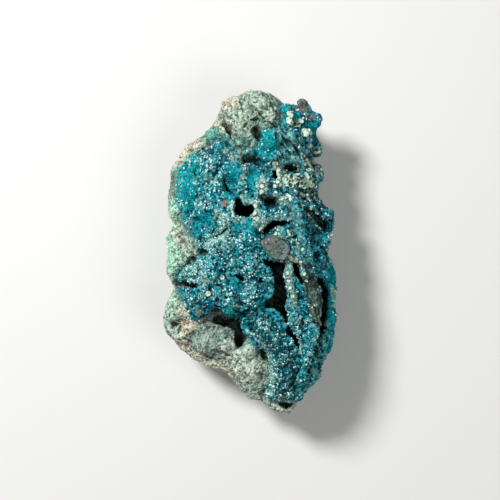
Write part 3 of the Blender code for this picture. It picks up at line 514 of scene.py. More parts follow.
def streaks(spots, heading, length, width, seed):
    """Ridges that all run one way over the plan: 1 on a crest, down to -1 in a furrow."""
    x, y = math.cos(heading), math.sin(heading)
    run = (spots[:, 0] * x + spots[:, 1] * y) / length
    side = (spots[:, 1] * x - spots[:, 0] * y) / width
    grid = np.stack((run, side, spots[:, 2] / length), axis=1)
    return np.clip(1.0 - 2.2 * np.abs(wander(grid, 1.0, 2, seed)), -1.0, 1.0)


def zone_mask(spots, zones):
    mask = np.zeros(len(spots))
    x, y = as_seen(spots)
    for route, reach, strength in zones:
        away = distance_to_route(route, x, y)
        feather = min(0.9, 0.8 * reach)
        mask = np.maximum(mask, strength * smooth_step(reach + feather, reach - 0.5 * feather, away))
    return mask


def blur_over_mesh(mesh, values, rounds):
    """Averages a value with its neighbours along the mesh's edges."""
    ends = np.empty(len(mesh.edges) * 2, dtype=np.int32)
    mesh.edges.foreach_get("vertices", ends)
    one, two = ends.reshape(-1, 2).T
    size = len(values)
    count = np.bincount(one, minlength=size) + np.bincount(two, minlength=size)
    for _ in range(rounds):
        total = np.bincount(one, weights=values[two], minlength=size)
        total += np.bincount(two, weights=values[one], minlength=size)
        values = 0.5 * values + 0.5 * total / np.maximum(count, 1)
    return values


def standing_out(mesh, rounds, size):
    """How far each point stands out from its surroundings: 0 in a dent, 0.5 level, 1 on a crest."""
    points, outward = coordinates(mesh), normals(mesh)
    level = np.stack([blur_over_mesh(mesh, points[:, axis], rounds) for axis in range(3)], axis=1)
    out = np.einsum("ij,ij->i", points - level, outward)
    return np.clip(0.5 + 0.5 * out / size, 0.0, 1.0)


def surface_tree(mesh):
    shape = bmesh.new()
    shape.from_mesh(mesh)
    tree = BVHTree.FromBMesh(shape)
    shape.free()
    return tree


def gap_to(points, tree, reach):
    """The distance from each point to another surface, or the reach where it is further off."""
    gaps = np.full(len(points), reach)
    for i, point in enumerate(points):
        found = tree.find_nearest(Vector(point), reach)
        if found[0] is not None:
            gaps[i] = found[3]
    return gaps


def seam_width(mesh, other):
    """How wide the seam is where a surface faces another one, or the reach where it doesn't."""
    gaps = np.full(len(mesh.vertices), SEAM_REACH)
    for i, (point, outward) in enumerate(zip(coordinates(mesh), normals(mesh))):
        found = other.ray_cast(Vector(point), Vector(outward), SEAM_REACH)
        if found[0] is not None:
            gaps[i] = found[3]
    return gaps


# The openness sets where shade is painted into the hollows.
def openness(mesh, other):
    """How much of the sky above it each point sees past its own surface and another one, from 0
    in a deep hollow to 1 in the open.

    It is measured at a thinned-out set of points and carried over to the rest.
    """
    points, outward = coordinates(mesh), normals(mesh)
    trees = (surface_tree(mesh), other)
    in_seam = seam_width(mesh, other) < SEAM_REACH
    rays = []
    for i in range(20):
        rise = 0.35 + 0.65 * (i + 0.5) / 20
        turn = i * 2.39996
        flat = math.sqrt(1.0 - rise * rise)
        rays.append(Vector((flat * math.cos(turn), flat * math.sin(turn), rise)))
    cell = np.round(points / (0.6 * MM)).astype(np.int64)
    _, first, back = np.unique(cell, axis=0, return_index=True, return_inverse=True)
    seen = np.empty(len(first))
    for slot, i in enumerate(first):
        start = Vector(points[i]) + Vector(outward[i]) * 0.35 * MM
        blocked = 0
        for ray in rays:
            if any(tree.ray_cast(start, ray, 14 * MM)[0] is not None for tree in trees):
                blocked += 1
        seen[slot] = 1.0 - blocked / len(rays)
    seen = seen[back.ravel()]
    return blur_over_mesh(mesh, np.where(in_seam, np.maximum(seen, 0.6), seen), 5)


# Making the surfaces.
def merged_copy(node, name):
    """A copy of a solid's mesh with its loose triangles merged, as an object of its own."""
    shape = bmesh.new()
    shape.from_mesh(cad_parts[node].data)
    bmesh.ops.remove_doubles(shape, verts=shape.verts, dist=1e-7)
    mesh = bpy.data.meshes.new(name)
    shape.to_mesh(mesh)
    shape.free()
    piece = bpy.data.objects.new(name, mesh)
    bpy.context.scene.collection.objects.link(piece)
    return piece


def apply_modifiers(piece):
    graph = bpy.context.evaluated_depsgraph_get()
    mesh = bpy.data.meshes.new_from_object(piece.evaluated_get(graph))
    piece.modifiers.clear()
    old, piece.data = piece.data, mesh
    bpy.data.meshes.remove(old)
    mesh.name = piece.name


def refine(piece, voxel, smoothing):
    """Remakes the surface on a fine even grid and rounds off the solid's facets."""
    remesh = piece.modifiers.new("Refine", "REMESH")
    remesh.mode = "VOXEL"
    remesh.voxel_size = voxel
    soften = piece.modifiers.new("Soften", "SMOOTH")
    soften.factor = 0.5
    soften.iterations = smoothing
    apply_modifiers(piece)


def thin_hidden(piece, other):
    """Thins the faces that lie hidden in the seam to the neighbouring solid."""
    facing = (seam_width(piece.data, other) < SEAM_REACH).astype(float)
    hidden = blur_over_mesh(piece.data, facing, 6) > 0.9
    group = piece.vertex_groups.new(name="hidden")
    group.add(np.flatnonzero(hidden).tolist(), 1.0, "REPLACE")
    thin = piece.modifiers.new("Thin", "DECIMATE")
    thin.ratio = 1.0 - 0.85 * float(hidden.mean())
    thin.vertex_group = group.name
    thin.vertex_group_factor = 100.0
    apply_modifiers(piece)
    piece.vertex_groups.clear()


def close_seam(mesh, other):
    """Swells a surface by half the width of the seam to the neighbouring solid."""
    gaps = seam_width(mesh, other)
    swell = np.where(gaps < SEAM_REACH, gaps * 0.5 + 0.12 * MM, 0.0)
    swell = blur_over_mesh(mesh, swell, 3)
    place_vertices(mesh, coordinates(mesh) + normals(mesh) * swell[:, None])


def triangles(mesh):
    mesh.calc_loop_triangles()
    return len(mesh.loop_triangles)


def ready(piece, node, material):
    piece.data.materials.clear()
    piece.data.materials.append(material)
    piece.data.polygons.foreach_set("use_smooth", np.ones(len(piece.data.polygons), dtype=bool))
    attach(piece, BODY)
    if node:
        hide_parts(node)
    print(piece.name, triangles(piece.data), "faces")


def stub_share(spots):
    """1 on the stalactite stub and 0 off it, and how near its rim each point lies."""
    inside = np.full(len(spots), -np.inf)
    for (x, y), radius in STUB_LOBES:
        inside = np.maximum(inside, radius - np.hypot(spots[:, 0] - x, spots[:, 1] - y))
    above = smooth_step(STUB_TOP - 2.6, STUB_TOP - 1.6, spots[:, 2])
    on = smooth_step(-0.7, -0.2, inside) * above
    rim = on * smooth_step(0.42, 0.12, inside)
    return on, rim


# The gap beside each bead is where shade is painted.
def raise_beads(mesh, beads):
    """Pushes round beads out of a surface. Gives how much each point is bead, and how much it
    lies in the dark gap beside one."""
    points = coordinates(mesh) / MM
    on, bead_gap_shade = np.zeros(len(points)), np.zeros(len(points))
    uneven = 1.0 + 0.16 * wander(points, 0.6, 2, 9)
    for x, y, radius in beads:
        seen_x, seen_y = as_seen(points)
        column = np.hypot(seen_x - x, seen_y - y) < max(0.4 * radius, 0.2)
        if not column.any():
            continue
        centre = points[column].mean(axis=0)
        centre[2] = points[column, 2].max() + 0.10 * radius
        away = points - centre
        gap = np.linalg.norm(away, axis=1) / uneven
        inside = (gap < radius) & (away[:, 2] > -0.75 * radius)
        lift = np.where(inside, radius / np.maximum(gap, 0.2 * radius), 1.0)
        points = centre + away * lift[:, None]
        gap = np.linalg.norm(points - centre, axis=1) / uneven
        on = np.maximum(on, smooth_step(radius + 0.14, radius + 0.02, gap))
        bead_gap_shade = np.maximum(bead_gap_shade, smooth_step(radius + 0.6, radius + 0.1, gap))
    place_vertices(mesh, points * MM)
    return on, bead_gap_shade * (1.0 - on)


# Node trees.
def group_socket(tree, label, kind, value=None, way="INPUT"):
    socket = tree.interface.new_socket(label, in_out=way, socket_type=kind)
    if value is not None:
        socket.default_value = value
    return socket


def grain_group():
    """Mineral Grain: uneven tone, grains with a tone of their own, their height, and flecks."""
    tree = bpy.data.node_groups.new("Mineral Grain", "ShaderNodeTree")
    group_socket(tree, "Grains per metre", "NodeSocketFloat", 2600.0)
    group_socket(tree, "Patches per metre", "NodeSocketFloat", 320.0)
    group_socket(tree, "Fleck Share", "NodeSocketFloat", 0.2)
    group_socket(tree, "Tone", "NodeSocketFloat", way="OUTPUT")
    group_socket(tree, "Height", "NodeSocketFloat", way="OUTPUT")
    group_socket(tree, "Fleck", "NodeSocketFloat", way="OUTPUT")
    group_socket(tree, "Grain", "NodeSocketFloat", way="OUTPUT")
    nodes, links = tree.nodes, tree.links
    into, out = nodes.new("NodeGroupInput"), nodes.new("NodeGroupOutput")
    place = nodes.new("ShaderNodeTexCoord")
    patch = nodes.new("ShaderNodeTexNoise")
    patch.inputs["Detail"].default_value = 5.0
    patch.inputs["Roughness"].default_value = 0.65
    links.new(place.outputs["Object"], patch.inputs["Vector"])
    links.new(into.outputs["Patches per metre"], patch.inputs["Scale"])
    links.new(patch.outputs["Fac"], out.inputs["Tone"])
    grain = nodes.new("ShaderNodeTexVoronoi")
    links.new(place.outputs["Object"], grain.inputs["Vector"])
    links.new(into.outputs["Grains per metre"], grain.inputs["Scale"])
    fine = nodes.new("ShaderNodeTexNoise")
    fine.inputs["Detail"].default_value = 4.0
    fine.inputs["Roughness"].default_value = 0.7
    links.new(place.outputs["Object"], fine.inputs["Vector"])
    links.new(into.outputs["Grains per metre"], fine.inputs["Scale"])
    height = nodes.new("ShaderNodeMath")
    height.operation = "MULTIPLY_ADD"
    height.inputs[1].default_value = -0.9
    links.new(grain.outputs["Distance"], height.inputs[0])
    links.new(fine.outputs["Fac"], height.inputs[2])
    links.new(height.outputs[0], out.inputs["Height"])
    chosen = nodes.new("ShaderNodeSeparateColor")
    links.new(grain.outputs["Color"], chosen.inputs["Color"])
    picked = nodes.new("ShaderNodeMath")
    picked.operation = "LESS_THAN"
    links.new(chosen.outputs["Red"], picked.inputs[0])
    links.new(chosen.outputs["Green"], out.inputs["Grain"])
    links.new(into.outputs["Fleck Share"], picked.inputs[1])
    core = nodes.new("ShaderNodeMapRange")
    core.inputs["From Min"].default_value = 0.50
    core.inputs["From Max"].default_value = 0.30
    links.new(grain.outputs["Distance"], core.inputs["Value"])
    fleck = nodes.new("ShaderNodeMath")
    fleck.operation = "MULTIPLY"
    links.new(core.outputs["Result"], fleck.inputs[0])
    links.new(picked.outputs[0], fleck.inputs[1])
    links.new(fleck.outputs[0], out.inputs["Fleck"])
    return tree


class Paint:
    """Builds one material step by step: a colour is laid over the last by a mask."""

    def __init__(self, name):
        self.material = bpy.data.materials.new(name)
        self.material.use_nodes = True
        self.nodes = self.material.node_tree.nodes
        self.links = self.material.node_tree.links
        self.shader = self.nodes["Principled BSDF"]
        self.colour = None

    def feed(self, socket, value):
        if isinstance(value, bpy.types.NodeSocket):
            self.links.new(value, socket)
        else:
            socket.default_value = value

    def value(self, name):
        """A number painted on the mesh."""
        node = self.nodes.new("ShaderNodeAttribute")
        node.attribute_name = name
        return node.outputs["Fac"]

    def grain(self, grains, patches, flecks):
        node = self.nodes.new("ShaderNodeGroup")
        node.node_tree = bpy.data.node_groups["Mineral Grain"]
        node.inputs["Grains per metre"].default_value = grains
        node.inputs["Patches per metre"].default_value = patches
        node.inputs["Fleck Share"].default_value = flecks
        return node.outputs

    def math(self, operation, *values):
        node = self.nodes.new("ShaderNodeMath")
        node.operation = operation
        for socket, value in zip(node.inputs, values):
            self.feed(socket, value)
        return node.outputs[0]

    def ramp(self, value, low, high, start=0.0, end=1.0):
        """The value's way from low to high, as a number from start to end."""
        node = self.nodes.new("ShaderNodeMapRange")
        node.interpolation_type = "SMOOTHSTEP"
        self.links.new(value, node.inputs["Value"])
        for label, number in (("From Min", low), ("From Max", high), ("To Min", start), ("To Max", end)):
            node.inputs[label].default_value = number
        return node.outputs["Result"]

    def uneven(self, grain, fleck, tone):
        """How light each grain is, from coarse grains, finer ones and an uneven tone."""
        low = self.math("MULTIPLY_ADD", fleck, 0.45, self.ramp(tone, 0.36, 0.64, -0.12, 0.12))
        return self.math("MULTIPLY_ADD", grain, 0.65, self.math("SUBTRACT", low, 0.05))

    def broken(self, mask, tone, edge=0.16):
        """A soft mask with its edge broken up by an uneven tone."""
        total = self.math("ADD", mask, self.math("MULTIPLY_ADD", tone, 1.5, -0.75))
        return self.ramp(total, 0.5 - edge, 0.5 + edge)

    def mixed(self, share, one, two):
        node = self.nodes.new("ShaderNodeMix")
        node.data_type = "RGBA"
        for socket, value in ((node.inputs[0], share), (node.inputs[6], one), (node.inputs[7], two)):
            if not isinstance(value, (bpy.types.NodeSocket, float)):
                value = (*[min(float(part), 1.0) for part in value[:3]], 1.0)
            self.feed(socket, value)
        return node.outputs[2]

    def over(self, colour, mask, strength=1.0):
        if strength != 1.0:
            mask = self.math("MULTIPLY", mask, strength)
        self.colour = self.mixed(mask, self.colour, colour)

    def two_tone(self, colour, low, high, share):
        """A colour in a darker and a lighter shade."""
        shade = np.array(colour)
        return self.mixed(share, shade * low, shade * high)

    def finish(self, roughness, height, strength, depth, gleam=0.3):
        self.shader.inputs["Specular IOR Level"].default_value = gleam
        self.links.new(self.colour, self.shader.inputs["Base Color"])
        self.links.new(roughness, self.shader.inputs["Roughness"])
        bump = self.nodes.new("ShaderNodeBump")
        bump.inputs["Strength"].default_value = strength
        bump.inputs["Distance"].default_value = depth
        self.links.new(height, bump.inputs["Height"])
        self.links.new(bump.outputs["Normal"], self.shader.inputs["Normal"])
        return self.material


def rock_material(settings):
    paint = Paint("porous_rock")
    fine = paint.grain(3400.0, 1500.0, 0.25)
    coarse = paint.grain(2200.0, 420.0, 0.22)
    relief = paint.value("relief")
    mottle, patch = fine["Tone"], coarse["Tone"]
    speck = paint.grain(1500.0, 900.0, 0.20)
    share = paint.uneven(speck["Grain"], fine["Grain"], mottle)
    paint.colour = paint.two_tone(settings.sage, 0.08, 1.75, share)
    paint.over(paint.two_tone(linear(178, 196, 172), 0.3, 1.5, share), paint.ramp(patch, 0.5, 0.66), 0.5)
    tints = (("mint", 0.24, 1.5), ("tan", 0.2, 1.55), ("grey", 0.18, 1.65), ("teal", 0.15, 1.55),
             ("olive", 0.3, 1.5), ("chalk", 0.15, 1.55))
    for name, low, high in tints:
        shaded = paint.two_tone(getattr(settings, name), low, high, share)
        paint.over(shaded, paint.broken(paint.value(name), mottle))
    # Painted highlight: the rock's crests are made lighter.
    paint.over(linear(214, 228, 206), paint.ramp(relief, 0.58, 0.9), 0.5)
    paint.over(linear(24, 112, 114), paint.broken(paint.value("blue"), mottle), 0.85)
    crowd = paint.ramp(patch, 0.36, 0.60, 0.25, 1.0)
    paint.over(linear(220, 232, 214), fine["Fleck"], 0.5)
    paint.over(linear(40, 54, 44), paint.math("MULTIPLY", speck["Fleck"], crowd), 0.85)
    prick = paint.grain(2500.0, 1300.0, 0.20)
    paint.over(linear(48, 62, 50), prick["Fleck"], 0.8)
    fibre = paint.value("fibre")
    paint.over(linear(160, 176, 164), paint.ramp(fibre, 0.2, 0.9), 0.6)
    paint.over(linear(78, 92, 84), paint.ramp(fibre, -0.2, -0.9), 0.6)
    # Painted shade: the rock's dents and creases are made darker.
    paint.over(linear(58, 74, 62), paint.ramp(relief, 0.44, 0.14), 0.8)
    # Painted shade: the pores and cracks are made darker.
    paint.over(linear(52, 64, 52), paint.value("pore"), 0.75)
    paint.over(linear(6, 18, 18), paint.value("shade"), 0.92)
    # Painted shade in the hollows, where little of the sky is seen.
    paint.over(linear(2, 30, 38), paint.ramp(paint.value("open"), 0.48, 0.10))
    height = paint.math("MULTIPLY_ADD", fine["Height"], 0.5, speck["Height"])
    roughness = paint.ramp(patch, 0.3, 0.7, 0.78, 0.95)
    return paint.finish(roughness, height, 1.0, 0.32 * MM)


def crust_material(name, settings, lift=1.0):
    """The blue crust. The lift brightens it, for crystals that catch more light."""
    paint = Paint(name)
    fine = paint.grain(2300.0, 1300.0, 0.30)
    coarse = paint.grain(900.0, 330.0, 0.1)
    hue = paint.grain(600.0, 170.0, 0.1)
    mottle, patch, wide = fine["Tone"], coarse["Tone"], hue["Tone"]
    relief = paint.value("relief")
    # Painted shade: the crust goes to the dark colour in its dents and to blue on its rises.
    paint.colour = paint.mixed(paint.ramp(relief, 0.28, 0.66), settings.deep_shade, np.array(settings.blue) * lift)
    paint.over(linear(0, 90, 118), paint.ramp(wide, 0.48, 0.60), 0.5)
    paint.over(linear(22, 124, 112), paint.ramp(patch, 0.52, 0.66), 0.35)
    speck = paint.grain(1750.0, 900.0, 0.1)
    share = paint.uneven(speck["Grain"], fine["Grain"], mottle)
    paint.over(linear(0, 34, 52), paint.ramp(share, 0.48, 0.2))
    paint.over(linear(48, 174, 180), paint.ramp(share, 0.6, 0.88), 0.9)
    paint.over(linear(96, 132, 120), paint.ramp(patch, 0.42, 0.32), 0.22)
    paint.over(linear(0, 56, 64), paint.broken(paint.value("dusk"), mottle, 0.4), 0.75)
    paint.over(paint.two_tone(settings.bright, 0.3, 1.6, share), paint.broken(paint.value("bright"), mottle))
    # Painted highlight: the crust's crests are made lighter.
    bumpy = paint.math("MULTIPLY_ADD", mottle, 0.6, relief)
    paint.over(linear(64, 170, 172), paint.ramp(bumpy, 0.95, 1.25), 0.75)
    lace = paint.math("MULTIPLY", paint.value("lace"), paint.ramp(mottle, 0.42, 0.56))
    paint.over(linear(140, 198, 186), lace, 0.38)
    smooth = paint.two_tone(linear(0, 128, 138), 0.34, 1.85, share)
    paint.over(smooth, paint.broken(paint.value("smooth"), patch), 0.9)
    paint.over(paint.two_tone(settings.pale, 0.3, 1.45, share), paint.broken(paint.value("pale"), mottle))
    paint.over(paint.two_tone(settings.grey, 0.3, 2.0, share), paint.broken(paint.value("grey"), mottle))
    for zone, colour in (("olive", linear(58, 68, 56)), ("charcoal", linear(30, 46, 50))):
        paint.over(paint.two_tone(colour, 0.45, 1.5, share), paint.broken(paint.value(zone), patch))
    mauve = paint.mixed(paint.ramp(patch, 0.42, 0.58), linear(98, 116, 108), settings.mauve)
    mauve = paint.mixed(paint.ramp(share, 0.1, 0.7), linear(66, 74, 74), mauve)
    paint.over(mauve, paint.broken(paint.value("mauve"), patch))
    paint.over(settings.rust, paint.broken(paint.value("rust"), mottle), 0.85)
    # Painted highlight on the crests of the folds and streaks, and painted shade in their furrows.
    streak = paint.value("streak")
    paint.over(linear(138, 194, 190), paint.ramp(streak, 0.1, 0.85), 0.65)
    paint.over(linear(8, 36, 38), paint.ramp(streak, -0.2, -0.8), 0.75)
    # White flecks on the rises: partly the white quartz tips, partly painted glints.
    crowd = paint.ramp(paint.math("ADD", coarse["Tone"], paint.value("sparkle")), 0.50, 0.62)
    fleck = paint.math("MULTIPLY", fine["Fleck"], paint.ramp(relief, 0.35, 0.6))
    paint.over(linear(214, 234, 228), paint.math("MULTIPLY", fleck, crowd), 0.9)
    # Painted shade: the crust's dents are made darker.
    paint.over(linear(0, 36, 44), paint.ramp(relief, 0.42, 0.10), 0.8)
    # Painted shade in the gaps beside the beads.
    paint.over(linear(4, 34, 36), paint.value("bead_gap_shade"), 0.95)
    cream = paint.two_tone(settings.cream, 0.66, 1.18, share)
    # Painted shade in the creases between the cream beads.
    cream = paint.mixed(paint.ramp(relief, 0.0, 0.2), linear(60, 78, 62), cream)
    paint.over(cream, paint.value("cream"))
    paint.over(linear(3, 30, 36), paint.value("shade"), 0.85)
    paint.over(linear(112, 140, 134), paint.value("rim"), 0.7)
    # Painted shade in the hollows, where little of the sky is seen.
    paint.over(linear(0, 26, 38), paint.ramp(paint.value("open"), 0.46, 0.10))
    paint.over(paint.two_tone(linear(158, 152, 138), 0.4, 1.4, share), paint.broken(paint.value("tan"), mottle))
    paint.over(paint.two_tone(linear(112, 136, 116), 0.35, 1.5, share), paint.broken(paint.value("rind"), mottle))
    height = paint.math("MULTIPLY_ADD", fine["Height"], 0.7, speck["Height"])
    roughness = paint.ramp(mottle, 0.35, 0.65, 0.28, 0.6)
    return paint.finish(roughness, height, 1.0, 0.26 * MM, 0.06)


def white_material(settings):
    """Clear to milky crystals, each a little lighter or darker than the next."""
    paint = Paint("white_crystal")
    tone = paint.value("tone")
    paint.colour = paint.mixed(paint.ramp(tone, 0.0, 0.5), linear(16, 118, 130), linear(74, 168, 170))
    paint.over(settings.white, paint.ramp(tone, 0.45, 0.9))
    # Painted shade on the crystals in the hollows, where little of the sky is seen.
    paint.over(linear(2, 14, 18), paint.ramp(paint.value("open"), 0.45, 0.08))
    grain = paint.grain(3800.0, 2600.0, 0.2)
    roughness = paint.ramp(grain["Tone"], 0.35, 0.65, 0.15, 0.42)
    return paint.finish(roughness, grain["Height"], 0.25, 0.05 * MM)


# Scattering crystals.
def scatter_tree():
    """Geometry Nodes that stand pointed crystals on a surface, by a painted density."""
    tree = bpy.data.node_groups.new("Crystal Scatter", "GeometryNodeTree")
    group_socket(tree, "Surface", "NodeSocketGeometry")
    group_socket(tree, "Spacing", "NodeSocketFloat", 0.0004)
    group_socket(tree, "Width", "NodeSocketFloat", 0.0004)
    group_socket(tree, "Tilt", "NodeSocketFloat", 0.5)
    group_socket(tree, "Share", "NodeSocketFloat", 1.0)
    group_socket(tree, "Seed", "NodeSocketInt", 0)
    group_socket(tree, "Material", "NodeSocketMaterial")
    group_socket(tree, "Crystals", "NodeSocketGeometry", way="OUTPUT")
    nodes, links = tree.nodes, tree.links
    into, out = nodes.new("NodeGroupInput"), nodes.new("NodeGroupOutput")

    def times(one, two):
        node = nodes.new("ShaderNodeMath")
        node.operation = "MULTIPLY"
        for socket, value in zip(node.inputs, (one, two)):
            if isinstance(value, float):
                socket.default_value = value
            else:
                links.new(value, socket)
        return node.outputs[0]

    density = nodes.new("GeometryNodeInputNamedAttribute")
    density.data_type = "FLOAT"
    density.inputs["Name"].default_value = "density"
    points = nodes.new("GeometryNodeDistributePointsOnFaces")
    points.distribute_method = "POISSON"
    points.inputs["Density Max"].default_value = 6e7
    links.new(into.outputs["Surface"], points.inputs["Mesh"])
    links.new(into.outputs["Spacing"], points.inputs["Distance Min"])
    links.new(times(density.outputs["Attribute"], into.outputs["Share"]), points.inputs["Density Factor"])
    links.new(into.outputs["Seed"], points.inputs["Seed"])
    lean = nodes.new("FunctionNodeRandomValue")
    lean.data_type = "FLOAT_VECTOR"
    links.new(times(into.outputs["Tilt"], -1.0), lean.inputs["Min"])
    links.new(into.outputs["Tilt"], lean.inputs["Max"])
    links.new(into.outputs["Seed"], lean.inputs["Seed"])
    euler = nodes.new("FunctionNodeEulerToRotation")
    links.new(lean.outputs["Value"], euler.inputs["Euler"])
    turn = nodes.new("FunctionNodeRotateRotation")
    turn.rotation_space = "LOCAL"
    links.new(points.outputs["Rotation"], turn.inputs["Rotation"])
    links.new(euler.outputs["Rotation"], turn.inputs["Rotate By"])
    size = nodes.new("FunctionNodeRandomValue")
    size.data_type = "FLOAT"
    size.inputs["Min"].default_value = 0.5
    size.inputs["Max"].default_value = 1.3
    links.new(into.outputs["Seed"], size.inputs["Seed"])
    cone = nodes.new("GeometryNodeMeshCone")
    cone.fill_type = "NONE"
    cone.inputs["Vertices"].default_value = 6
    cone.inputs["Radius Top"].default_value = 0.0
    cone.inputs["Radius Bottom"].default_value = 0.5
    cone.inputs["Depth"].default_value = 0.85
    sunk = nodes.new("GeometryNodeTransform")
    sunk.inputs["Translation"].default_value = (0.0, 0.0, -0.2)
    links.new(cone.outputs["Mesh"], sunk.inputs["Geometry"])
    stand = nodes.new("GeometryNodeInstanceOnPoints")
    links.new(points.outputs["Points"], stand.inputs["Points"])
    links.new(sunk.outputs["Geometry"], stand.inputs["Instance"])
    links.new(turn.outputs["Rotation"], stand.inputs["Rotation"])
    links.new(times(size.outputs[1], into.outputs["Width"]), stand.inputs["Scale"])
    tone = nodes.new("FunctionNodeRandomValue")
    tone.data_type = "FLOAT"
    tone.inputs["Seed"].default_value = 11
    keep = nodes.new("GeometryNodeStoreNamedAttribute")
    keep.data_type = "FLOAT"
    keep.domain = "INSTANCE"
    keep.inputs["Name"].default_value = "tone"
    links.new(stand.outputs["Instances"], keep.inputs["Geometry"])
    links.new(tone.outputs[1], keep.inputs["Value"])
    real = nodes.new("GeometryNodeRealizeInstances")
    links.new(keep.outputs["Geometry"], real.inputs["Geometry"])
    finish = nodes.new("GeometryNodeSetMaterial")
    links.new(real.outputs["Geometry"], finish.inputs["Geometry"])
    links.new(into.outputs["Material"], finish.inputs["Material"])
    links.new(finish.outputs["Geometry"], out.inputs["Crystals"])
    return tree


def set_input(modifier, label, value):
    for item in modifier.node_group.interface.items_tree:
        if item.item_type == "SOCKET" and item.in_out == "INPUT" and item.name == label:
            modifier[item.identifier] = value
            return
    raise KeyError(label)


def scatter(name, surface, density, tree, material, **values):
    """Crystals over a surface, thick where the density is high, as a piece of its own."""
    mesh = surface.data.copy()
    write_attribute(mesh, "density", density)
    piece = bpy.data.objects.new(name, mesh)
    bpy.context.scene.collection.objects.link(piece)
    modifier = piece.modifiers.new("Scatter", "NODES")
    modifier.node_group = tree
    for label, value in values.items():
        set_input(modifier, label, value)
    set_input(modifier, "Material", material)
    apply_modifiers(piece)
    if not piece.data.polygons:
        raise RuntimeError(f"no crystals were made for {name}")
    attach(piece, BODY)
    print(name, triangles(piece.data), "faces")


class SPECIMEN_OT_rock(Operator):
    """Dress the host rock: broken relief, pores and its tints"""

    bl_idname = "specimen.rock"
    bl_label = "Host Rock"

    def execute(self, context):
        settings = context.scene.specimen_rock
        piece = merged_copy(ROCK_NODE, "porous_host_rock")
        refine(piece, settings.fineness, 5)
        crust = surface_tree(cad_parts[CRUST_NODE].data)
        thin_hidden(piece, crust)
        mesh = piece.data
        seen = openness(mesh, crust)
        close_seam(mesh, crust)
        points, outward = coordinates(mesh), normals(mesh)
        spots = points / MM
        lens, fibre = self.fibres(spots)
        swayed = spots + 0.30 * sway(spots, 0.8)
        pore, chosen = cells(swayed, settings.pore_size / MM, 3)
        tiny, picked = cells(swayed, 0.55 * settings.pore_size / MM, 4)
        pore = smooth_step(0.36, 0.14, pore) * (chosen < 0.45)
        pore = np.maximum(pore, 0.7 * smooth_step(0.36, 0.14, tiny) * (picked < 0.3))
        pore *= 1.0 - 0.7 * lens
        crack = zone_mask(spots + 0.25 * sway(spots, 0.7, 2), ROCK_CRACKS)
        height = settings.relief * (wander(spots, 3.0, 3, 1) + 0.6 * wander(spots, 1.1, 3, 2))
        height += settings.grain_height * wander(spots, 0.5, 2, 3)
        height += 0.06 * MM * fibre - settings.pore_depth * pore - 0.5 * MM * crack
        height *= smooth_step(0.0, 1.2, spots[:, 2])
        place_vertices(mesh, points + outward * height[:, None])
        spots = coordinates(mesh) / MM
        front = smooth_step(5.0, 10.0, spots[:, 2] + 2.5 * wander(spots, 5.0, 3, 21))
        strayed = spots + 0.7 * sway(spots, 2.2, 1)
        for name, zones in ROCK_ZONES.items():
            write_attribute(mesh, name, zone_mask(strayed, zones) * front)
        # The pore mask carries the pores and cracks, which are painted dark as the shade in them.
        write_attribute(mesh, "pore", np.maximum(pore, crack))
        write_attribute(mesh, "fibre", fibre)
        write_attribute(mesh, "relief", standing_out(mesh, 14, 0.22 * MM))
        # The sides below the girth get no painted hollow shade.
        side = smooth_step(12.5, 8.0, spots[:, 2])
        write_attribute(mesh, "open", np.maximum(seen, side))
        stained = 1.0 - gap_to(coordinates(mesh), crust, 2.8 * MM) / (2.8 * MM)
        write_attribute(mesh, "blue", 0.85 * stained * (1.0 - zone_mask(strayed, ROCK_ZONES["tan"])))
        ready(piece, ROCK_NODE, rock_material(settings))
        return {"FINISHED"}

    def fibres(self, spots):
        """Where the fibrous lens lies, and its fine ridges, which fan out over it."""
        x, y = spots[:, 0] - LENS_PLACE[0], spots[:, 1] - LENS_PLACE[1]
        on = smooth_step(1.12, 0.88, np.hypot(x / LENS_REACH[0], y / LENS_REACH[1]))
        on *= smooth_step(6.0, 9.0, spots[:, 2])
        x, y = spots[:, 0] - LENS_ROOT[0], spots[:, 1] - LENS_ROOT[1]
        fan = np.stack((np.arctan2(y, x) * 24.0, np.hypot(x, y) * 0.9, 0.3 * spots[:, 2]), axis=1)
        return on, on * np.clip(1.3 * wander(fan, 1.0, 3, 6), -1.0, 1.0)


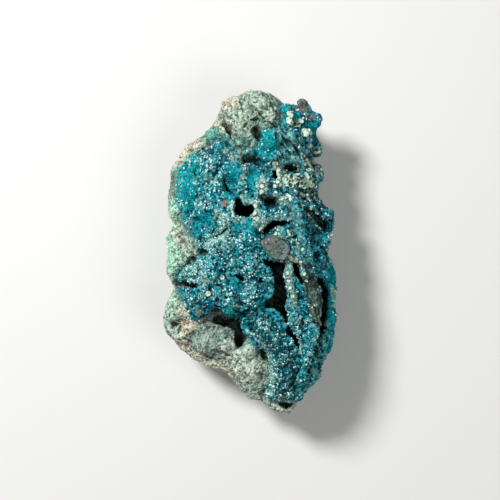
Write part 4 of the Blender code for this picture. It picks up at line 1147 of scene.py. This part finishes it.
class SPECIMEN_OT_crust(Operator):
    """Dress the chrysocolla crust: beads, grains and its tints"""

    bl_idname = "specimen.crust"
    bl_label = "Chrysocolla Crust"

    def execute(self, context):
        settings = context.scene.specimen_crust
        piece = merged_copy(CRUST_NODE, "lumpy_chrysocolla_crust")
        refine(piece, settings.fineness, 5)
        rock = surface_tree(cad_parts[ROCK_NODE].data)
        thin_hidden(piece, rock)
        mesh = piece.data
        seen = openness(mesh, rock)
        # The shallow top is kept from the darkest painted hollow shade.
        shallow = smooth_step(15.0, 16.6, coordinates(mesh)[:, 2] / MM)
        seen = np.maximum(seen, 0.3 * shallow)
        close_seam(mesh, rock)
        points, outward = coordinates(mesh), normals(mesh)
        spots = points / MM
        on_stub, rim = stub_share(spots)
        strayed = spots + 0.45 * sway(spots, 1.8)
        masks = {name: zone_mask(strayed, zones) for name, zones in CRUST_ZONES.items()}
        flat = np.maximum.reduce([0.65 * masks["grey"], 0.85 * masks["olive"], 0.6 * masks["smooth"]])
        loosened = spots + 0.28 * sway(spots, 0.9)
        bead, tone = cells(loosened, settings.bead_size / MM, 1)
        grain, _ = cells(loosened, settings.grain_size / MM, 2)
        height = settings.bead_height * (dome(bead, 0.80) - 0.55) * (0.7 + 0.5 * tone) * (1.0 - flat)
        height += settings.grain_height * (dome(grain, 0.80) - 0.5)
        height += settings.lump_height * wander(spots, 2.8, 3, 5) * (1.0 - 0.5 * flat)
        folds = streaks(spots, FOLD_HEADING, 2.6, 0.85, 11) * masks["fold"]
        lines = streaks(spots, WALL_HEADING, 3.0, 0.55, 12) * (1.0 - masks["fold"])
        height += 0.50 * MM * folds + 0.17 * MM * lines * flat
        height *= 1.0 - on_stub
        height += 0.10 * MM * wander(spots, 1.6, 3, 6) * on_stub
        place_vertices(mesh, points + outward * height[:, None])
        on_bead, bead_gap_shade = raise_beads(mesh, BEADS)
        for name, mask in masks.items():
            write_attribute(mesh, name, mask * (1.0 - on_stub))
        write_attribute(mesh, "mauve", np.maximum(masks["mauve"] * (1.0 - on_stub), on_stub * 1.3))
        lined = np.maximum(masks["grey"], masks["olive"])
        write_attribute(mesh, "streak", (folds + 0.6 * lines * lined) * (1.0 - on_stub))
        write_attribute(mesh, "rim", rim)
        write_attribute(mesh, "cream", on_bead * (1.0 - on_stub))
        write_attribute(mesh, "bead_gap_shade", bead_gap_shade * (1.0 - on_stub))
        write_attribute(mesh, "relief", standing_out(mesh, 16, 0.30 * MM) * (1.0 - on_stub) + 0.5 * on_stub)
        lace = smooth_step(0.30, 0.42, bead) * smooth_step(0.70, 0.58, bead) * (tone > 0.5)
        write_attribute(mesh, "lace", lace)
        write_attribute(mesh, "open", seen)
        write_attribute(mesh, "stub", on_stub)
        ready(piece, CRUST_NODE, crust_material("druse_crust", settings))
        return {"FINISHED"}


class SPECIMEN_OT_druse(Operator):
    """Grow the tiny blue and white crystals over the crust"""

    bl_idname = "specimen.druse"
    bl_label = "Blue and White Crystals"

    def execute(self, context):
        crust = bpy.data.objects["lumpy_chrysocolla_crust"]
        settings = context.scene.specimen_druse
        mesh = crust.data
        spots = coordinates(mesh) / MM
        relief = read_attribute(mesh, "relief")
        bare = (1.0 - read_attribute(mesh, "stub")) * (1.0 - read_attribute(mesh, "olive"))
        for name in ("grey", "mauve", "charcoal", "smooth", "cream", "bead_gap_shade", "tan", "rind"):
            bare *= 1.0 - 0.85 * np.clip(read_attribute(mesh, name), 0.0, 1.0)
        sky = smooth_step(-0.1, 0.35, normals(mesh)[:, 2])
        sky *= smooth_step(0.15, 0.5, read_attribute(mesh, "open"))
        crowd = 0.10 + 0.6 * wander(spots, 4.0, 2, 8) + 0.7 * wander(spots, 1.0, 2, 7)
        crowd += 0.7 * read_attribute(mesh, "sparkle") + 0.5 * read_attribute(mesh, "pale")
        crowd = smooth_step(0.08, 0.8, crowd + 0.5 * read_attribute(mesh, "lace"))
        tree = scatter_tree()
        # A lighter copy of the crust's material: painted light for the crystals, which catch more light.
        blue = crust_material("blue_crystal", context.scene.specimen_crust, 1.25)
        scatter(
            "blue_druse", crust, sky * bare, tree, blue, Spacing=settings.blue_spacing,
            Width=settings.blue_size, Tilt=0.7, Share=0.7, Seed=settings.seed,
        )
        scatter(
            "white_druse", crust, sky * bare * crowd * smooth_step(0.35, 0.6, relief), tree,
            white_material(settings), Spacing=settings.white_spacing, Width=settings.white_size,
            Tilt=0.8, Share=0.75, Seed=settings.seed + 1,
        )
        return {"FINISHED"}


class SPECIMEN_OT_stage(Operator):
    """Set the plain floor, the soft lights and the camera above the display face"""

    bl_idname = "specimen.stage"
    bl_label = "Stage"

    def execute(self, context):
        settings = context.scene.specimen_stage
        self.floor(settings)
        self.light("key_light", (-0.27, 0.24, 0.38), 0.14, settings.key_power)
        self.light("fill_light", (0.30, -0.18, 0.40), 0.40, settings.key_power * 0.25)
        world = bpy.data.worlds.new("soft_room")
        world.use_nodes = True
        sky = world.node_tree.nodes["Background"]
        sky.inputs["Color"].default_value = (0.88, 0.91, 0.94, 1.0)
        sky.inputs["Strength"].default_value = 0.22
        context.scene.world = world
        context.scene.view_settings.view_transform = "Standard"
        self.camera(context, settings)
        return {"FINISHED"}

    def floor(self, settings):
        shape = bmesh.new()
        bmesh.ops.create_grid(shape, x_segments=8, y_segments=8, size=1.5)
        mesh = bpy.data.meshes.new("floor")
        shape.to_mesh(mesh)
        shape.free()
        floor = bpy.data.objects.new("floor", mesh)
        bpy.context.scene.collection.objects.link(floor)
        paint = Paint("plain_floor")
        cloud = paint.grain(40.0, 6.0, 0.0)["Tone"]
        paint.colour = paint.two_tone(settings.floor_tone, 0.98, 1.02, cloud)
        mesh.materials.append(paint.finish(paint.ramp(cloud, 0.3, 0.7, 0.6, 0.7), cloud, 0.02, MM))

    def light(self, name, place, size, power):
        lamp = bpy.data.lights.new(name, "AREA")
        lamp.shape = "DISK"
        lamp.size = size
        lamp.energy = power
        rig = bpy.data.objects.new(name, lamp)
        rig.location = place
        rig.rotation_euler = (-Vector(place)).to_track_quat("-Z", "Y").to_euler()
        bpy.context.scene.collection.objects.link(rig)

    def camera(self, context, settings):
        lens = bpy.data.cameras.new("camera")
        lens.sensor_width = 36.0
        lens.lens = 36.0 * settings.distance / settings.frame_width
        lens.clip_start = 0.01
        rig = bpy.data.objects.new("camera", lens)
        rig.location = (0.0, 0.00054, 0.012 + settings.distance)
        context.scene.collection.objects.link(rig)
        context.scene.camera = rig


class SPECIMEN_PT_panel(Panel):
    """Lists the steps of the specimen with their sizes and colours"""

    bl_label = "Chrysocolla Specimen"
    bl_idname = "SPECIMEN_PT_panel"
    bl_space_type = "VIEW_3D"
    bl_region_type = "UI"
    bl_category = "Specimen"

    def draw(self, context):
        for operator, holder, _ in STEPS:
            box = self.layout.box()
            box.operator(operator.bl_idname)
            settings = getattr(context.scene, holder)
            for name in settings.__annotations__:
                box.prop(settings, name)


# Each step with the name and the kind of its settings.
STEPS = (
    (SPECIMEN_OT_rock, "specimen_rock", RockSettings),
    (SPECIMEN_OT_crust, "specimen_crust", CrustSettings),
    (SPECIMEN_OT_druse, "specimen_druse", DruseSettings),
    (SPECIMEN_OT_stage, "specimen_stage", StageSettings),
)


def register():
    for operator, holder, kind in STEPS:
        bpy.utils.register_class(kind)
        bpy.utils.register_class(operator)
        setattr(bpy.types.Scene, holder, PointerProperty(type=kind))
    bpy.utils.register_class(SPECIMEN_PT_panel)


def unregister():
    bpy.utils.unregister_class(SPECIMEN_PT_panel)
    for operator, holder, kind in reversed(STEPS):
        delattr(bpy.types.Scene, holder)
        bpy.utils.unregister_class(operator)
        bpy.utils.unregister_class(kind)


def main():
    register()
    grain_group()
    for operator, _, _ in STEPS:
        family, step = operator.bl_idname.split(".")
        getattr(getattr(bpy.ops, family), step)()


if __name__ == "__main__":
    main()
